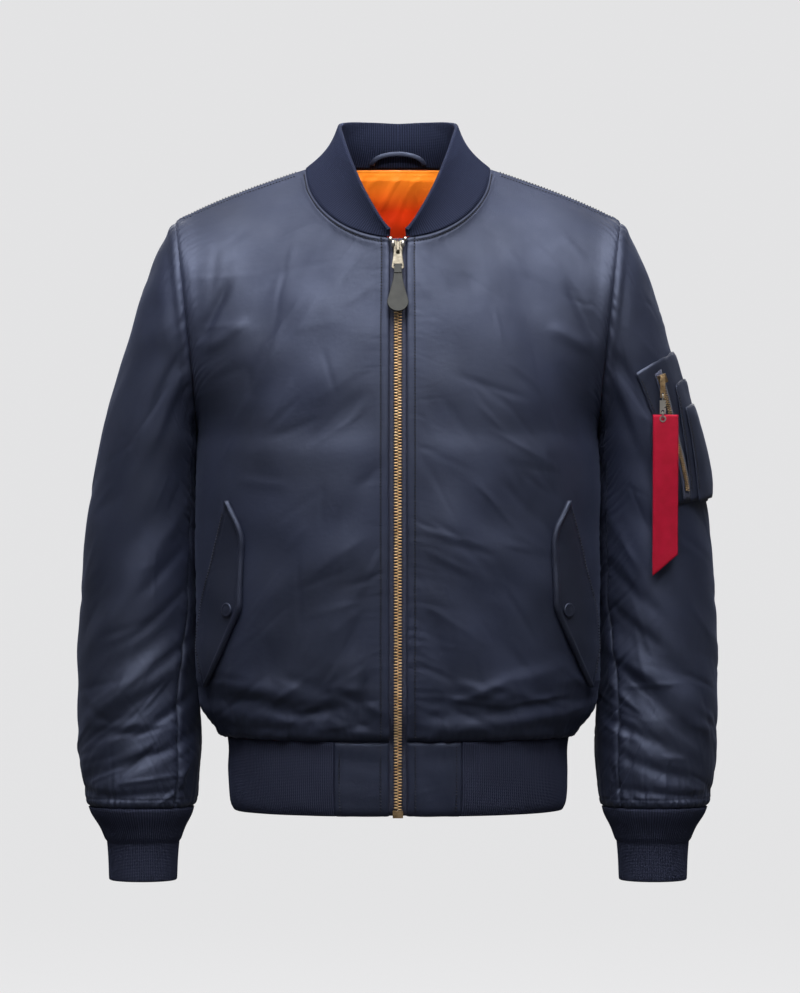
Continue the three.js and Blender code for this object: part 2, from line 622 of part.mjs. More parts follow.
// The hanger loop stands in a low arch off the inside of the collar, at the nape.
const LOOP = { half: 24.5, rise: 9, foot: 8, wide: 5, thick: 1.2, steps: 14, off: 8.8, lean: 7.2, curl: 3 };
function loopPoint(n, across) {
  const angle = (Math.PI * n) / LOOP.steps;
  const reach = LOOP.half + across;
  const y = NECK.back - LOOP.off - LOOP.lean * Math.sin(angle) - LOOP.curl * Math.cos(angle) ** 2;
  return V(-reach * Math.cos(angle), y, LOOP.foot + (LOOP.rise + across) * Math.sin(angle));
}
const loopOuter = [0, LOOP.wide].map((across) => range(LOOP.steps + 1).map((n) => loopPoint(n, across)));
const loopInner = loopOuter.map((row) => row.map((p) => V(p.x, p.y + LOOP.thick, p.z)));
add("hanger_loop", wallGeometry(loopOuter, loopInner), NYLON);

// The front zip: tapes behind the folded edges, the chain between them

// The zip follows the fronts' and the hem blocks' own edges, row by row from the hem to the collar.
const zipLine = (z) => curve(BODY, "z", "front", z);
const zipEdges = [
  ...blockGrid.map((row, i) => [row[0], blockNormals[i][0], sample(blockGrid, i, 0.4)]).slice(0, -1),
  ...frontLeft.map((row, i) => [row[0], frontNormals[i][0], sample(frontLeft, i, 0.26)]),
];
const TAPE_SET = { near: 0.4, gap: 0.5, thick: 1 };
const tapeOuter = zipEdges.map(([edge, normal, further]) => {
  const [under, beyond] = [edge, further].map((p) => p.clone().addScaledVector(normal, -SHELL - TAPE_SET.gap));
  return [V(TAPE_SET.near, under.y, under.z), under, beyond];
});
const tapeInner = movedBy(tapeOuter, normalsOf(tapeOuter), -TAPE_SET.thick);
for (const row of tapeInner) row[0].x = TAPE_SET.near;
addPair("zip_tape_left", wallGeometry(tapeOuter, tapeInner), TAPE);

// A strip of the zip between two rows, across the centre: its face lies so far behind the fronts' own.
function zipStrip(half, behind, thick, first, last) {
  const outer = zipEdges.slice(first, last).map(([edge]) => {
    const y = edge.y + behind;
    return [V(-half, y, edge.z), V(half, y, edge.z)];
  });
  const inner = outer.map((row) => row.map((p) => V(p.x, p.y + thick, p.z)));
  return wallGeometry(outer, inner);
}
const CHAIN = { half: 4.4, behind: 0.4, thick: 2.4 };
add("zip_chain", zipStrip(CHAIN.half, CHAIN.behind, CHAIN.thick, 1, -2), BRASS);
const BOX = { half: 5.2, high: -652.6, low: HEM_Z - 1, behind: -0.5, thick: 2.8 };
const boxGeometry = new THREE.BoxGeometry(2 * BOX.half, BOX.thick, BOX.high - BOX.low);
boxGeometry.translate(0, zipLine(BOX.low + 5) + BOX.behind + BOX.thick / 2, (BOX.high + BOX.low) / 2);
add("zip_box", boxGeometry, BRASS);

// Hard pieces on the zip are drawn in the plane of the chain: x across, z up along it, y into the chest.
const SLIDER_Z = -89;
const SLIDER_TILT = -Math.atan((zipLine(SLIDER_Z + 10) - zipLine(SLIDER_Z - 10)) / 20);
const onZip = new THREE.Group();
onZip.position.set(0, zipLine(SLIDER_Z), SLIDER_Z);
onZip.rotation.x = SLIDER_TILT;
jacket.add(onZip);

// A flat plate: an outline in x and z, extruded in y between two depths.
function plate(outline, holes, frontY, backY, bevel = 0) {
  const shape = new THREE.Shape(outline.map(([x, z]) => new THREE.Vector2(x, z)));
  for (const hole of holes) shape.holes.push(new THREE.Path(hole.map(([x, z]) => new THREE.Vector2(x, z))));
  const made = new THREE.ExtrudeGeometry(shape, {
    depth: backY - frontY - 2 * bevel,
    bevelEnabled: bevel > 0,
    bevelThickness: bevel,
    bevelSize: bevel,
    bevelOffset: -bevel,
    bevelSegments: 2,
  });
  // The outline's plane turns upright, and what was the extrusion's top then faces the front.
  return made.rotateX(Math.PI / 2).translate(0, backY - bevel, 0);
}
const rectangle = (halfX, lowZ, highZ) => [
  [-halfX, lowZ],
  [halfX, lowZ],
  [halfX, highZ],
  [-halfX, highZ],
];

// Solids for joining and cutting.
function solidOf(geometry) {
  const bare = geometry.clone();
  bare.deleteAttribute("normal");
  bare.deleteAttribute("uv");
  const merged = mergeVertices(bare, 1e-4);
  return new wasm.Manifold(
    new wasm.Mesh({
      numProp: 3,
      vertProperties: merged.attributes.position.array,
      triVerts: new Uint32Array(merged.index.array),
    }),
  );
}
function geometryOf(solid) {
  const mesh = solid.getMesh();
  const geometry = new THREE.BufferGeometry();
  geometry.setAttribute("position", new THREE.BufferAttribute(new Float32Array(mesh.vertProperties), 3));
  geometry.setIndex(new THREE.BufferAttribute(new Uint32Array(mesh.triVerts), 1));
  geometry.computeVertexNormals();
  return geometry;
}
const joined = (geometries) => geometryOf(geometries.map(solidOf).reduce((a, b) => a.add(b)));

// The slider's body with its bail, the small bridge that the pull hangs on.
const SLIDER = { half: 5.6, foot: 4.6, low: -9, high: 9, face: -3.2, rear: 3 };
const BAIL = { half: 1.4, reach: 6.2, rod: 1.6, rise: 4.1, tail: 0.6 };
const sliderBody = plate(
  [
    [-SLIDER.foot, SLIDER.low],
    [SLIDER.foot, SLIDER.low],
    [SLIDER.foot, SLIDER.low + 9],
    [SLIDER.half, SLIDER.high - 5],
    [SLIDER.half - 1.4, SLIDER.high],
    [1.2, SLIDER.high - 1.8],
    [-1.2, SLIDER.high - 1.8],
    [-SLIDER.half + 1.4, SLIDER.high],
    [-SLIDER.half, SLIDER.high - 5],
    [-SLIDER.foot, SLIDER.low + 9],
  ],
  [],
  SLIDER.face,
  SLIDER.rear,
  0.6,
);
// The bail is drawn from the side, as an arch, and extruded across.
function arch(reach, rod, rise, half, tail) {
  const shape = new THREE.Shape();
  shape.moveTo(-reach, -tail);
  shape.lineTo(-reach, rise - 1.4);
  shape.lineTo(-reach + 1.8, rise);
  shape.lineTo(reach - 1.8, rise);
  shape.lineTo(reach, rise - 1.4);
  shape.lineTo(reach, -tail);
  shape.lineTo(reach - rod, -tail);
  shape.lineTo(reach - rod, rise - rod - 0.6);
  shape.lineTo(reach - rod - 0.8, rise - rod);
  shape.lineTo(-reach + rod + 0.8, rise - rod);
  shape.lineTo(-reach + rod, rise - rod - 0.6);
  shape.lineTo(-reach + rod, -tail);
  const made = new THREE.ExtrudeGeometry(shape, { depth: 2 * half, bevelEnabled: false });
  // The arch's length turns to run along the zip and its height to point forwards.
  const basis = new THREE.Matrix4().makeBasis(V(0, 0, 1), V(0, -1, 0), V(1, 0, 0));
  return made.applyMatrix4(basis).translate(-half, SLIDER.face, 0);
}
const bail = arch(BAIL.reach, BAIL.rod, BAIL.rise, BAIL.half, BAIL.tail);
add("zip_slider", joined([sliderBody, bail]), BRASS, onZip);

// Two round stops at the zip's top.
const STOP = { x: 7.2, z: -78.2, radius: 1.9, proud: 2.2 };
for (const [name, sign] of [
  ["zip_stop_left", 1],
  ["zip_stop_right", -1],
]) {
  const stop = new THREE.SphereGeometry(STOP.radius, 10, 6);
  stop.translate(sign * STOP.x, zipLine(STOP.z) - STOP.proud, STOP.z);
  add(name, stop, BRASS);
}

// The pull: a brass plate that turns in the bail, and a leather tab looped through its lower slot.
const PIVOT_Y = SLIDER.face - 1.25; // the pull's own middle, between the slider's face and the bail
const PULL = { top: 0.7, low: -24, halfTop: 3.6, halfLow: 6.4, window: 2.1, windowLow: -8.2, thick: 1.3 };
const SLOT = { half: 4.2, low: -22, high: -18.6 };
const pullPlate = plate(
  [
    [-PULL.halfTop, -3],
    [-PULL.halfLow, PULL.low + 1.5],
    [-PULL.halfLow + 1.5, PULL.low],
    [PULL.halfLow - 1.5, PULL.low],
    [PULL.halfLow, PULL.low + 1.5],
    [PULL.halfTop, -3],
    [PULL.halfTop, PULL.top],
    [-PULL.halfTop, PULL.top],
  ],
  [rectangle(PULL.window, PULL.windowLow, -PULL.top), rectangle(SLOT.half, SLOT.low, SLOT.high)],
  PIVOT_Y - PULL.thick / 2,
  PIVOT_Y + PULL.thick / 2,
);
add("zip_pull", pullPlate, STEEL, onZip);

// The tab's outline is a drop, wide and round at its foot.
const TAB = { top: SLOT.low - 4, low: -71, halfTop: 4, halfLow: 10.8, thick: 2.4, leanY: 0.4 };
const DROP_STEPS = 14;
const dropCentre = TAB.low + TAB.halfLow;
const tabOutline = [
  [-TAB.halfTop, TAB.top],
  [-TAB.halfTop - 0.8, TAB.top - 10],
  ...range(DROP_STEPS + 1).map((n) => {
    const angle = Math.PI * (1 + n / DROP_STEPS);
    return [TAB.halfLow * Math.cos(angle), dropCentre + TAB.halfLow * Math.sin(angle)];
  }),
  [TAB.halfTop + 0.8, TAB.top - 10],
  [TAB.halfTop, TAB.top],
];
const tabFront = PIVOT_Y - TAB.thick / 2 - TAB.leanY;
const tabPlate = plate(tabOutline, [], tabFront, tabFront + TAB.thick, 0.5);
// The loop round the plate's lower bar, drawn from the side.
const LOOP_REACH = 2.5;
const loopRing = new THREE.Shape();
loopRing.moveTo(-LOOP_REACH, TAB.top - 3);
loopRing.lineTo(LOOP_REACH, TAB.top - 3);
loopRing.lineTo(LOOP_REACH, SLOT.high - 1.4);
loopRing.lineTo(1.2, SLOT.high - 0.4);
loopRing.lineTo(-1.2, SLOT.high - 0.4);
loopRing.lineTo(-LOOP_REACH, SLOT.high - 1.4);
const loopHole = new THREE.Path();
loopHole.moveTo(-1.1, PULL.low - 0.5);
loopHole.lineTo(1.1, PULL.low - 0.5);
loopHole.lineTo(1.1, SLOT.low + 0.5);
loopHole.lineTo(-1.1, SLOT.low + 0.5);
loopRing.holes.push(loopHole);
const tabLoop = new THREE.ExtrudeGeometry(loopRing, { depth: 2 * (TAB.halfTop - 0.3), bevelEnabled: false });
tabLoop.applyMatrix4(new THREE.Matrix4().makeBasis(V(0, 1, 0), V(0, 0, 1), V(1, 0, 0)));
tabLoop.translate(-TAB.halfTop + 0.3, PIVOT_Y, 0);
add("zip_pull_leather", joined([tabPlate, tabLoop]), LEATHER, onZip);

// Pieces that lie on the fronts

// A front's column at which a row reaches an x, as a share of a column.
function columnAt(row, x) {
  let j = 0;
  while (j < row.length - 2 && row[j + 1].x < x) j += 1;
  return j + (x - row[j].x) / (row[j + 1].x - row[j].x);
}
const rowAt = (z) => ((z - HEM_SEAM_Z) / (ARMPIT_Z - HEM_SEAM_Z)) * LOWER_ROWS;
// The point and outward direction of the left front at a place in front view, below the armpit.
function onFront(x, z) {
  const row = rowAt(z);
  const flat = range(HALF_COLUMNS + 1).map((j) => sample(frontLeft, row, j));
  const column = columnAt(flat, x);
  return [sample(frontLeft, row, column), sample(frontNormals, row, column).normalize()];
}
const between = (table, at, key, x) => {
  let i = 0;
  while (i < table.length - 2 && table[i + 1][at] < x) i += 1;
  return lerp(table[i][key], table[i + 1][key], (x - table[i][at]) / (table[i + 1][at] - table[i][at]));
};

// The pocket flap, from its foot up: its edges in front view. Its slanted outer edge is sewn down.
const FLAP = [
  { z: -531, inner: 191.5, outer: 195.5 },
  { z: -488, inner: 171.5, outer: 203.5 },
  { z: -451, inner: 155.5, outer: 199 },
  { z: -376, inner: 152.5, outer: 181 },
  { z: -342, inner: 168.5, outer: 172 },
];
const FLAP_ROWS = 14;
const FLAP_COLUMNS = 3;
const FLAP_LIFT = 4.2;
const FLAP_THICK = 2.6;
const flapOuter = range(FLAP_ROWS + 1).map((i) => {
  const z = lerp(FLAP[0].z, FLAP.at(-1).z, i / FLAP_ROWS);
  return range(FLAP_COLUMNS + 1).map((j) => {
    const x = lerp(between(FLAP, "z", "inner", z), between(FLAP, "z", "outer", z), j / FLAP_COLUMNS);
    const [point, normal] = onFront(x, z);
    return point.addScaledVector(normal, FLAP_LIFT);
  });
});
const flapFaces = [flapOuter, movedBy(flapOuter, normalsOf(flapOuter), -FLAP_THICK)];
addPair("flap_left", wallGeometry(...flapFaces), NYLON);

// A round cap that stands on a place along a direction: a low dome on a flat foot.
function cap(radius, height, segments) {
  const profile = [
    [0, 0],
    [radius, 0],
    [radius, height * 0.45],
    [radius * 0.8, height * 0.8],
    [radius * 0.4, height],
    [0, height],
  ].map(([x, y]) => new THREE.Vector2(x, y));
  return new THREE.LatheGeometry(profile, segments);
}
const standing = (geometry, point, normal) => {
  const turn = new THREE.Quaternion().setFromUnitVectors(V(0, 1, 0), normal);
  return geometry.clone().applyQuaternion(turn).translate(point.x, point.y, point.z);
};
const SNAP = { x: 170.5, z: -452, radius: 6.2, height: 2, gap: 0.35 };
const [snapPoint, snapNormal] = onFront(SNAP.x, SNAP.z);
snapPoint.addScaledVector(snapNormal, FLAP_LIFT + SNAP.gap);
addPair("snap_left", mergeVertices(standing(cap(SNAP.radius, SNAP.height, 16), snapPoint, snapNormal)), NYLON);

// Pieces that lie on the left sleeve

const sleeveRow = (degrees) => degrees / (360 / RING_POINTS);
// A closed grid's copy with its first column again at its end, so that it can be sampled all round.
const wrapped = (grid) => grid.map((row) => [...row, row[0]]);
const sleeveAround = wrapped(sleeveLeft);
const sleeveAroundNormals = wrapped(sleeveNormals);
function onSleeve(row, degrees) {
  const column = sleeveRow(degrees);
  return [sample(sleeveAround, row, column), sample(sleeveAroundNormals, row, column).normalize()];
}
// A patch that lies on the sleeve. It is given by its corners: degrees round the sleeve, and the row.
function sleevePatch(patch, columns, rows) {
  const { top, foot } = patch;
  const outer = range(rows + 1).map((i) => {
    const down = i / rows;
    return range(columns + 1).map((j) => {
      const across = j / columns;
      const angle = lerp(lerp(top.angle, top.endAngle, across), lerp(foot.angle, foot.endAngle, across), down);
      const row = lerp(lerp(top.row, top.endRow, across), lerp(foot.row, foot.endRow, across), down);
      const [point, normal] = onSleeve(row, angle);
      const swell = patch.swell * Math.sin(Math.PI * across) * Math.sin(Math.PI * down);
      return point.addScaledVector(normal, patch.lift + swell);
    });
  });
  return wallGeometry(outer, movedBy(outer, normalsOf(outer), -patch.thick));
}
const SLEEVE_PATCHES = [
  {
    name: "sleeve_pocket",
    top: { angle: 160, row: 4.3, endAngle: 262, endRow: 3.1 },
    foot: { angle: 160, row: 8.3, endAngle: 244, endRow: 8 },
    lift: 3.2,
    thick: 1.8,
    swell: 0,
    columns: 8,
    rows: 7,
  },
  {
    name: "pen_pocket",
    top: { angle: 160, row: 4.85, endAngle: 217, endRow: 4.85 },
    foot: { angle: 162, row: 8.15, endAngle: 217, endRow: 8.15 },
    lift: 6.2,
    thick: 1.7,
    swell: 0,
    columns: 4,
    rows: 5,
  },
  {
    name: "pen_pocket_front",
    top: { angle: 160, row: 5.6, endAngle: 209, endRow: 5.6 },
    foot: { angle: 162, row: 8.12, endAngle: 216, endRow: 8.12 },
    lift: 8.7,
    thick: 1.7,
    swell: 1.5,
    columns: 4,
    rows: 4,
  },
  {
    name: "sleeve_zip_tape",
    top: { angle: 238, row: 3.9, endAngle: 246, endRow: 3.8 },
    foot: { angle: 223, row: 8, endAngle: 231, endRow: 7.95 },
    lift: 4.6,
    thick: 0.9,
    swell: 0,
    columns: 1,
    rows: 8,
  },
  {
    name: "sleeve_zip_chain",
    top: { angle: 240, row: 4.35, endAngle: 244, endRow: 4.3 },
    foot: { angle: 225, row: 7.8, endAngle: 229, endRow: 7.75 },
    lift: 6.3,
    thick: 1.3,
    swell: 0,
    columns: 1,
    rows: 8,
  },
];
const patchMaterials = { sleeve_zip_tape: TAPE, sleeve_zip_chain: BRASS };
for (const patch of SLEEVE_PATCHES)
  add(patch.name, sleevePatch(patch, patch.columns, patch.rows), patchMaterials[patch.name] ?? NYLON);

// The sleeve zip's slider stands at the top of its chain. Its pull, clip and streamer hang straight down.
const SLEEVE_SLIDER = { row: 4.12, angle: 242, lift: 8.3, half: 3.4, length: 9, thick: 7 };
const [sliderPoint, sliderNormal] = onSleeve(SLEEVE_SLIDER.row, SLEEVE_SLIDER.angle);
const downZip = V(0, 0, 0).subVectors(onSleeve(6, 235)[0], sliderPoint);
downZip.addScaledVector(sliderNormal, -downZip.dot(sliderNormal)).normalize();
const acrossZip = V(0, 0, 0).crossVectors(downZip, sliderNormal);
const sliderBox = new THREE.BoxGeometry(2 * SLEEVE_SLIDER.half, SLEEVE_SLIDER.length, SLEEVE_SLIDER.thick);
sliderBox.applyMatrix4(new THREE.Matrix4().makeBasis(acrossZip, downZip, sliderNormal));
sliderPoint.addScaledVector(sliderNormal, SLEEVE_SLIDER.lift);
sliderBox.translate(sliderPoint.x, sliderPoint.y, sliderPoint.z);
add("sleeve_zip_slider", sliderBox, BRASS);

const HANG = { x: 268.5, y: -71.3 };
const ringX = (radius, tube, z) =>
  new THREE.TorusGeometry(radius, tube, 6, 12).rotateY(Math.PI / 2).translate(HANG.x, HANG.y, z);
const disc = (radius, z, steps = 10) =>
  range(steps).map((n) => {
    const angle = (2 * Math.PI * n) / steps;
    return [radius * Math.cos(angle), z + radius * Math.sin(angle)];
  });
const SMALL_PULL = { high: -216, low: -238, half: 2.6, holeZ: -234.1, hole: 1.5, thick: 1.2 };
const smallPull = plate(
  rectangle(SMALL_PULL.half, SMALL_PULL.low, SMALL_PULL.high),
  [disc(SMALL_PULL.hole, SMALL_PULL.holeZ)],
  -SMALL_PULL.thick / 2,
  SMALL_PULL.thick / 2,
);
add("sleeve_zip_pull", smallPull.translate(HANG.x, HANG.y, 0), BRASS);
const CLIP = { high: -240.5, low: -254.3, half: 3, holeZ: -251.8, hole: 1.6, thick: 2 };
const CLIP_RING = { radius: 3, wire: 0.7, z: -237.4 };
const clipBody = plate(
  rectangle(CLIP.half, CLIP.low, CLIP.high),
  [disc(CLIP.hole, CLIP.holeZ)],
  -CLIP.thick / 2,
  CLIP.thick / 2,
).translate(HANG.x, HANG.y, 0);
add("streamer_clip", joined([clipBody, ringX(CLIP_RING.radius, CLIP_RING.wire, CLIP_RING.z)]), STEEL);

// The streamer is a strip of webbing with a slanted end, and an eyelet for the ring at its top.
const STREAMER = { left: 258.5, right: 284.3, high: -255, lowLeft: -419, lowRight: -397, thick: 1.2, rows: 12 };
const EYELET = { z: -259.2, radius: 3.4, hole: 2, rim: 0.7 };
const RING = { high: -252.1, low: -258.7, wire: 0.7 };
const streamerOuter = range(STREAMER.rows + 1).map((i) => {
  const up = i / STREAMER.rows;
  return [0, 1].map((across) => {
    const z = lerp(lerp(STREAMER.lowLeft, STREAMER.lowRight, across), STREAMER.high, up);
    const wave = 1.5 * Math.sin(2 * Math.PI * up) * (1 - up);
    const y = HANG.y - STREAMER.thick / 2 + 8 * (1 - up) ** 1.5 + wave;
    return V(lerp(STREAMER.left, STREAMER.right, across), y, z);
  });
});
const streamerInner = streamerOuter.map((row) => row.map((p) => V(p.x, p.y + STREAMER.thick, p.z)));
const eyeletHole = new THREE.CylinderGeometry(EYELET.hole + 0.5, EYELET.hole + 0.5, 10, 16);
eyeletHole.translate(HANG.x, HANG.y, EYELET.z);
const streamer = solidOf(wallGeometry(streamerOuter, streamerInner)).subtract(solidOf(eyeletHole));
add("streamer", geometryOf(streamer), RED);
const eyeletProfile = [
  [EYELET.hole, -STREAMER.thick / 2 - EYELET.rim],
  [EYELET.radius, -STREAMER.thick / 2 - EYELET.rim],
  [EYELET.radius, -STREAMER.thick / 2 - 0.3],
  [EYELET.hole + 0.2, -STREAMER.thick / 2 - 0.3],
  [EYELET.hole + 0.2, STREAMER.thick / 2 + 0.3],
  [EYELET.hole, STREAMER.thick / 2 + 0.3],
  [EYELET.hole, -STREAMER.thick / 2 - EYELET.rim],
].map(([x, y]) => new THREE.Vector2(x, y));
const eyelet = new THREE.LatheGeometry(eyeletProfile, 14);
add("streamer_eyelet", eyelet.translate(HANG.x, HANG.y, EYELET.z), STEEL);
add("streamer_ring", ringX((RING.high - RING.low) / 2, RING.wire, (RING.high + RING.low) / 2), STEEL);

export default jacket;
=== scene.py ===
# %% [markdown]
# # A padded bomber jacket
# The jacket is a hollow shape: panels of nylon over wadding, ribbed knit at the neck, wrists and
# waist, and brass zips. A box with subdivisions could be pulled into this shape by hand, but then
# the seams would drift away from the cutting pattern. Here each panel is a formula on a grid, from
# the same sizes as the construction model, so every stitch and pucker can be placed by its
# distance from a seam. All sizes are in millimetres until a mesh is made.

import bpy
import numpy as np
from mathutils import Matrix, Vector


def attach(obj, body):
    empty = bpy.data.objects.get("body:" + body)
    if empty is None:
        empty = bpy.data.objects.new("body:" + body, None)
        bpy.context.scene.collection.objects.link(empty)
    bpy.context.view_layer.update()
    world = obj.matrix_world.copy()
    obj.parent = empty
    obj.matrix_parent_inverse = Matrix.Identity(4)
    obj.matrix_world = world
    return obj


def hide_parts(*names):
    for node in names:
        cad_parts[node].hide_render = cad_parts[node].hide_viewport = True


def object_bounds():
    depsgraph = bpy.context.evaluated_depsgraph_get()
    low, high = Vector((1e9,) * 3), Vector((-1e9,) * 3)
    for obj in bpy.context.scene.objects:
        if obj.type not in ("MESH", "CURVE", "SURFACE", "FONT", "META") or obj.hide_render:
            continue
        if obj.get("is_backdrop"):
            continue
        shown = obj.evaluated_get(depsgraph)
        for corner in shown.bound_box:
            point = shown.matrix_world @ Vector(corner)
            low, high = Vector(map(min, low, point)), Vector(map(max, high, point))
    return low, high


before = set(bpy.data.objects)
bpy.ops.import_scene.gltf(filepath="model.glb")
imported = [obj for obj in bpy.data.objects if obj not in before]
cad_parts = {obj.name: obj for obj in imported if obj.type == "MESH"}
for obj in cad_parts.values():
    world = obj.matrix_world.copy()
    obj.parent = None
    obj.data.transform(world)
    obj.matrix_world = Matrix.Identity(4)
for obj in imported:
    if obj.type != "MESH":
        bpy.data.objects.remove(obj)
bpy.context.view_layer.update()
MM = 0.001

# %% [markdown]
# ## The camera
# The photograph is a straight front view. The rounding of the hem gives the distance: the hem is
# level on the real jacket, and it looks 9 mm lower at the middle than at the sides, which a camera
# about 4.5 m away shows. A long lens at that distance then frames it.

# %% Camera
FRAME_HEIGHT = 1022.8  # how much the picture's long side shows at the middle of the jacket
DISTANCE = 4500
CENTRE_X, CENTRE_Z = 2.1, -338  # what lies in the middle of the picture
camera = bpy.data.objects.new("camera", bpy.data.cameras.new("camera"))
bpy.context.collection.objects.link(camera)
camera.data.sensor_width = 36
camera.data.lens = 36 * DISTANCE / FRAME_HEIGHT
camera.location = (CENTRE_X * MM, -DISTANCE * MM, CENTRE_Z * MM)
camera.rotation_euler = (np.pi / 2, 0, 0)
camera.data.clip_end = 60
bpy.context.scene.camera = camera
print("lens", round(camera.data.lens, 1))

# %% [markdown]
# ## Sizes
# A garment maker grades a pattern by level: so wide and so deep at the hem, at the waist, at the
# armpit. The tables hold those levels. A smooth curve through each column gives every size in
# between, which is what a curved ruler does on paper.

# %% Tables
def table(names, text):
    """A table with named columns, one row to a line."""
    rows = np.array([[float(word) for word in line.split()] for line in text.strip().splitlines()])
    return dict(zip(names.split(), rows.T))


BODY = table("z half front back side", """
    -659 167 -127 106 -10
    -650 171 -130 110 -10
    -620 173 -132 113 -10
    -584 174 -134 114 -10
    -574 186 -138 122 -10
    -560 198 -143 129 -11
    -540 204 -146 133 -12
    -480 206 -149 134 -12
    -400 206 -151 133 -12
    -320 206 -151 132 -9
    -268 207 -148 132 0
    -200 207 -139 131 0
    -140 207 -126 125 0
    -100 207 -113 117 0
     -77 207 -104 112 0
     -30 207  -90  94 0
       6 207  -80  75 0""")
SLEEVE = table("inner_x inner_z outer_x outer_z half middle", """
    208.4 -274 247  -86 76  3
    209   -281 266 -136 77  6
    208   -293 283 -192 77  9
    207   -314 299 -246 76 12
    206   -347 312 -302 75 15
    206   -395 321 -365 74 18
    206   -450 327 -438 73 19
    206   -508 331 -508 72 17
    204   -560 331 -566 70 12
    203   -604 328 -610 67  6
    206   -638 323 -640 62  0
    210   -656 318 -656 57 -3""")
CUFF = table("z x half depth middle", """
    -656.4 264   53.7 56.5 -3
    -664   263.5 51   53   -4
    -677   262.6 43.5 45.2 -5
    -689   262.1 38.6 39.4 -6
    -692   262   37.5 38   -6
    -710   262   36   35.8 -7
    -728   262   35.3 34.5 -8
    -732   262   35   34.2 -8""")
COLLAR_TOP = table("angle x y z", """
      5 10.5 -106.5 -70
     20 23    -97   -50
     40 38    -73   -21
     60 50    -43     9
     80 58    -14    33
    100 61.5   14    46
    130 54     43    51
    155 30     61    52
    180  0     67    51""")
SHELL = 3
RIB = 4
SEAM_GAP = 0.16
HEM_Z, HEM_SEAM_Z, ARMPIT_Z = -659, -584, -268
SHOULDER = np.array([230.0, 4, -56])
NECK_HALF, NECK_FRONT, NECK_BACK, NECK_DROP, NECK_RISE = 95, 104, 75, 77, 6
ZIP_HALF_GAP = 8.5
ARMPIT_X, ARMHOLE_HALF_DEPTH, ARMHOLE_BOW = 207, 75, 4
FULLNESS = 8


def curve(rows, at, key, x):
    """Reads one column where another has the value x. Between two rows it is the cubic that has, at
    each row, the slope from the row before to the row after."""
    t, v = rows[at], rows[key]
    if t[-1] < t[0]:
        t, v = t[::-1], v[::-1]
    slope = np.gradient(v, t) * 0
    slope[1:-1] = (v[2:] - v[:-2]) / (t[2:] - t[:-2])
    slope[0], slope[-1] = (v[1] - v[0]) / (t[1] - t[0]), (v[-1] - v[-2]) / (t[-1] - t[-2])
    x = np.asarray(x, float)
    i = np.clip(np.searchsorted(t, x) - 1, 0, len(t) - 2)
    step = t[i + 1] - t[i]
    s = np.clip((x - t[i]) / step, 0, 1)
    rise = v[i + 1] - v[i]
    start, end = slope[i] * step, slope[i + 1] * step
    return v[i] + start * s + (3 * rise - 2 * start - end) * s**2 + (start + end - 2 * rise) * s**3


print("waist half width", curve(BODY, "z", "half", -400), "mm")

# %% [markdown]
# ## The panels' plain shape
# Worn, the body of the jacket is nearly an ellipse in section, filled out a little at the corners.
# Above the armpit each row ends on the armhole and the rows rise to the neckline and the shoulder
# seam. The panels are first worked out at the few points that the construction model has, so that
# both lie in the same place, and are then read between those points with smooth cubics.

# %% Control points of the body
def unit(v):
    """Each vector at length one."""
    return v / np.maximum(np.linalg.norm(v, axis=-1, keepdims=True), 1e-9)


def triple(x, y, z):
    """Three arrays as one array of points."""
    return np.stack(np.broadcast_arrays(x, y, z), axis=-1).astype(float)


def row_point(centre, side, turn, share, facing):
    """A point between a centre line and a side: the part of an ellipse that turns by `turn` degrees,
    so x follows the sine and y the cosine of the angle, and a bulge of FULLNESS in the middle."""
    whole = np.radians(turn)
    angle = whole * share
    out = np.sin(angle) / np.sin(whole)
    back = (np.cos(angle) - np.cos(whole)) / (1 - np.cos(whole))
    full = FULLNESS * np.sin(np.pi * share)
    return triple(
        centre[..., 0] + (side[..., 0] - centre[..., 0]) * out + full * np.sin(angle),
        side[..., 1] + (centre[..., 1] - side[..., 1]) * back + facing * full * np.cos(angle),
        centre[..., 2] + (side[..., 2] - centre[..., 2]) * share,
    )


def armhole_point(share, facing):
    """The armhole's edge, half a turn from the armpit to the shoulder."""
    angle = np.pi * share
    middle_x, middle_z = (SHOULDER[0] + ARMPIT_X) / 2, (SHOULDER[2] + ARMPIT_Z) / 2
    return triple(
        middle_x - (SHOULDER[0] - middle_x) * np.cos(angle) - ARMHOLE_BOW * np.sin(angle),
        SHOULDER[1] / 2 * (1 - np.cos(angle)) + facing * ARMHOLE_HALF_DEPTH * np.sin(angle),
        middle_z - (SHOULDER[2] - middle_z) * np.cos(angle),
    )


def neck_point(angle):
    """The neckline by angle: two half ellipses, deeper at the front, that drop towards the zip."""
    s, c = np.sin(np.radians(angle)), np.cos(np.radians(angle))
    return triple(
        NECK_HALF * s,
        -np.where(c > 0, NECK_FRONT, NECK_BACK) * c,
        -np.where(c > 0, NECK_DROP, NECK_RISE) * c,
    )


ZIP_ANGLE = np.degrees(np.arcsin(ZIP_HALF_GAP / NECK_HALF))
COLUMNS, NECK_COLUMNS, LOWER_ROWS, ARMHOLE_ROWS = 10, 5, 12, 12
TOP_ROW = LOWER_ROWS + ARMHOLE_ROWS


def level(z, facing):
    """The centre line's and the side seam's point at a height."""
    y = curve(BODY, "z", "front" if facing < 0 else "back", z)
    centre = triple(ZIP_HALF_GAP if facing < 0 else 0.0, y, z)
    return centre, triple(curve(BODY, "z", "half", z), curve(BODY, "z", "side", z), z)


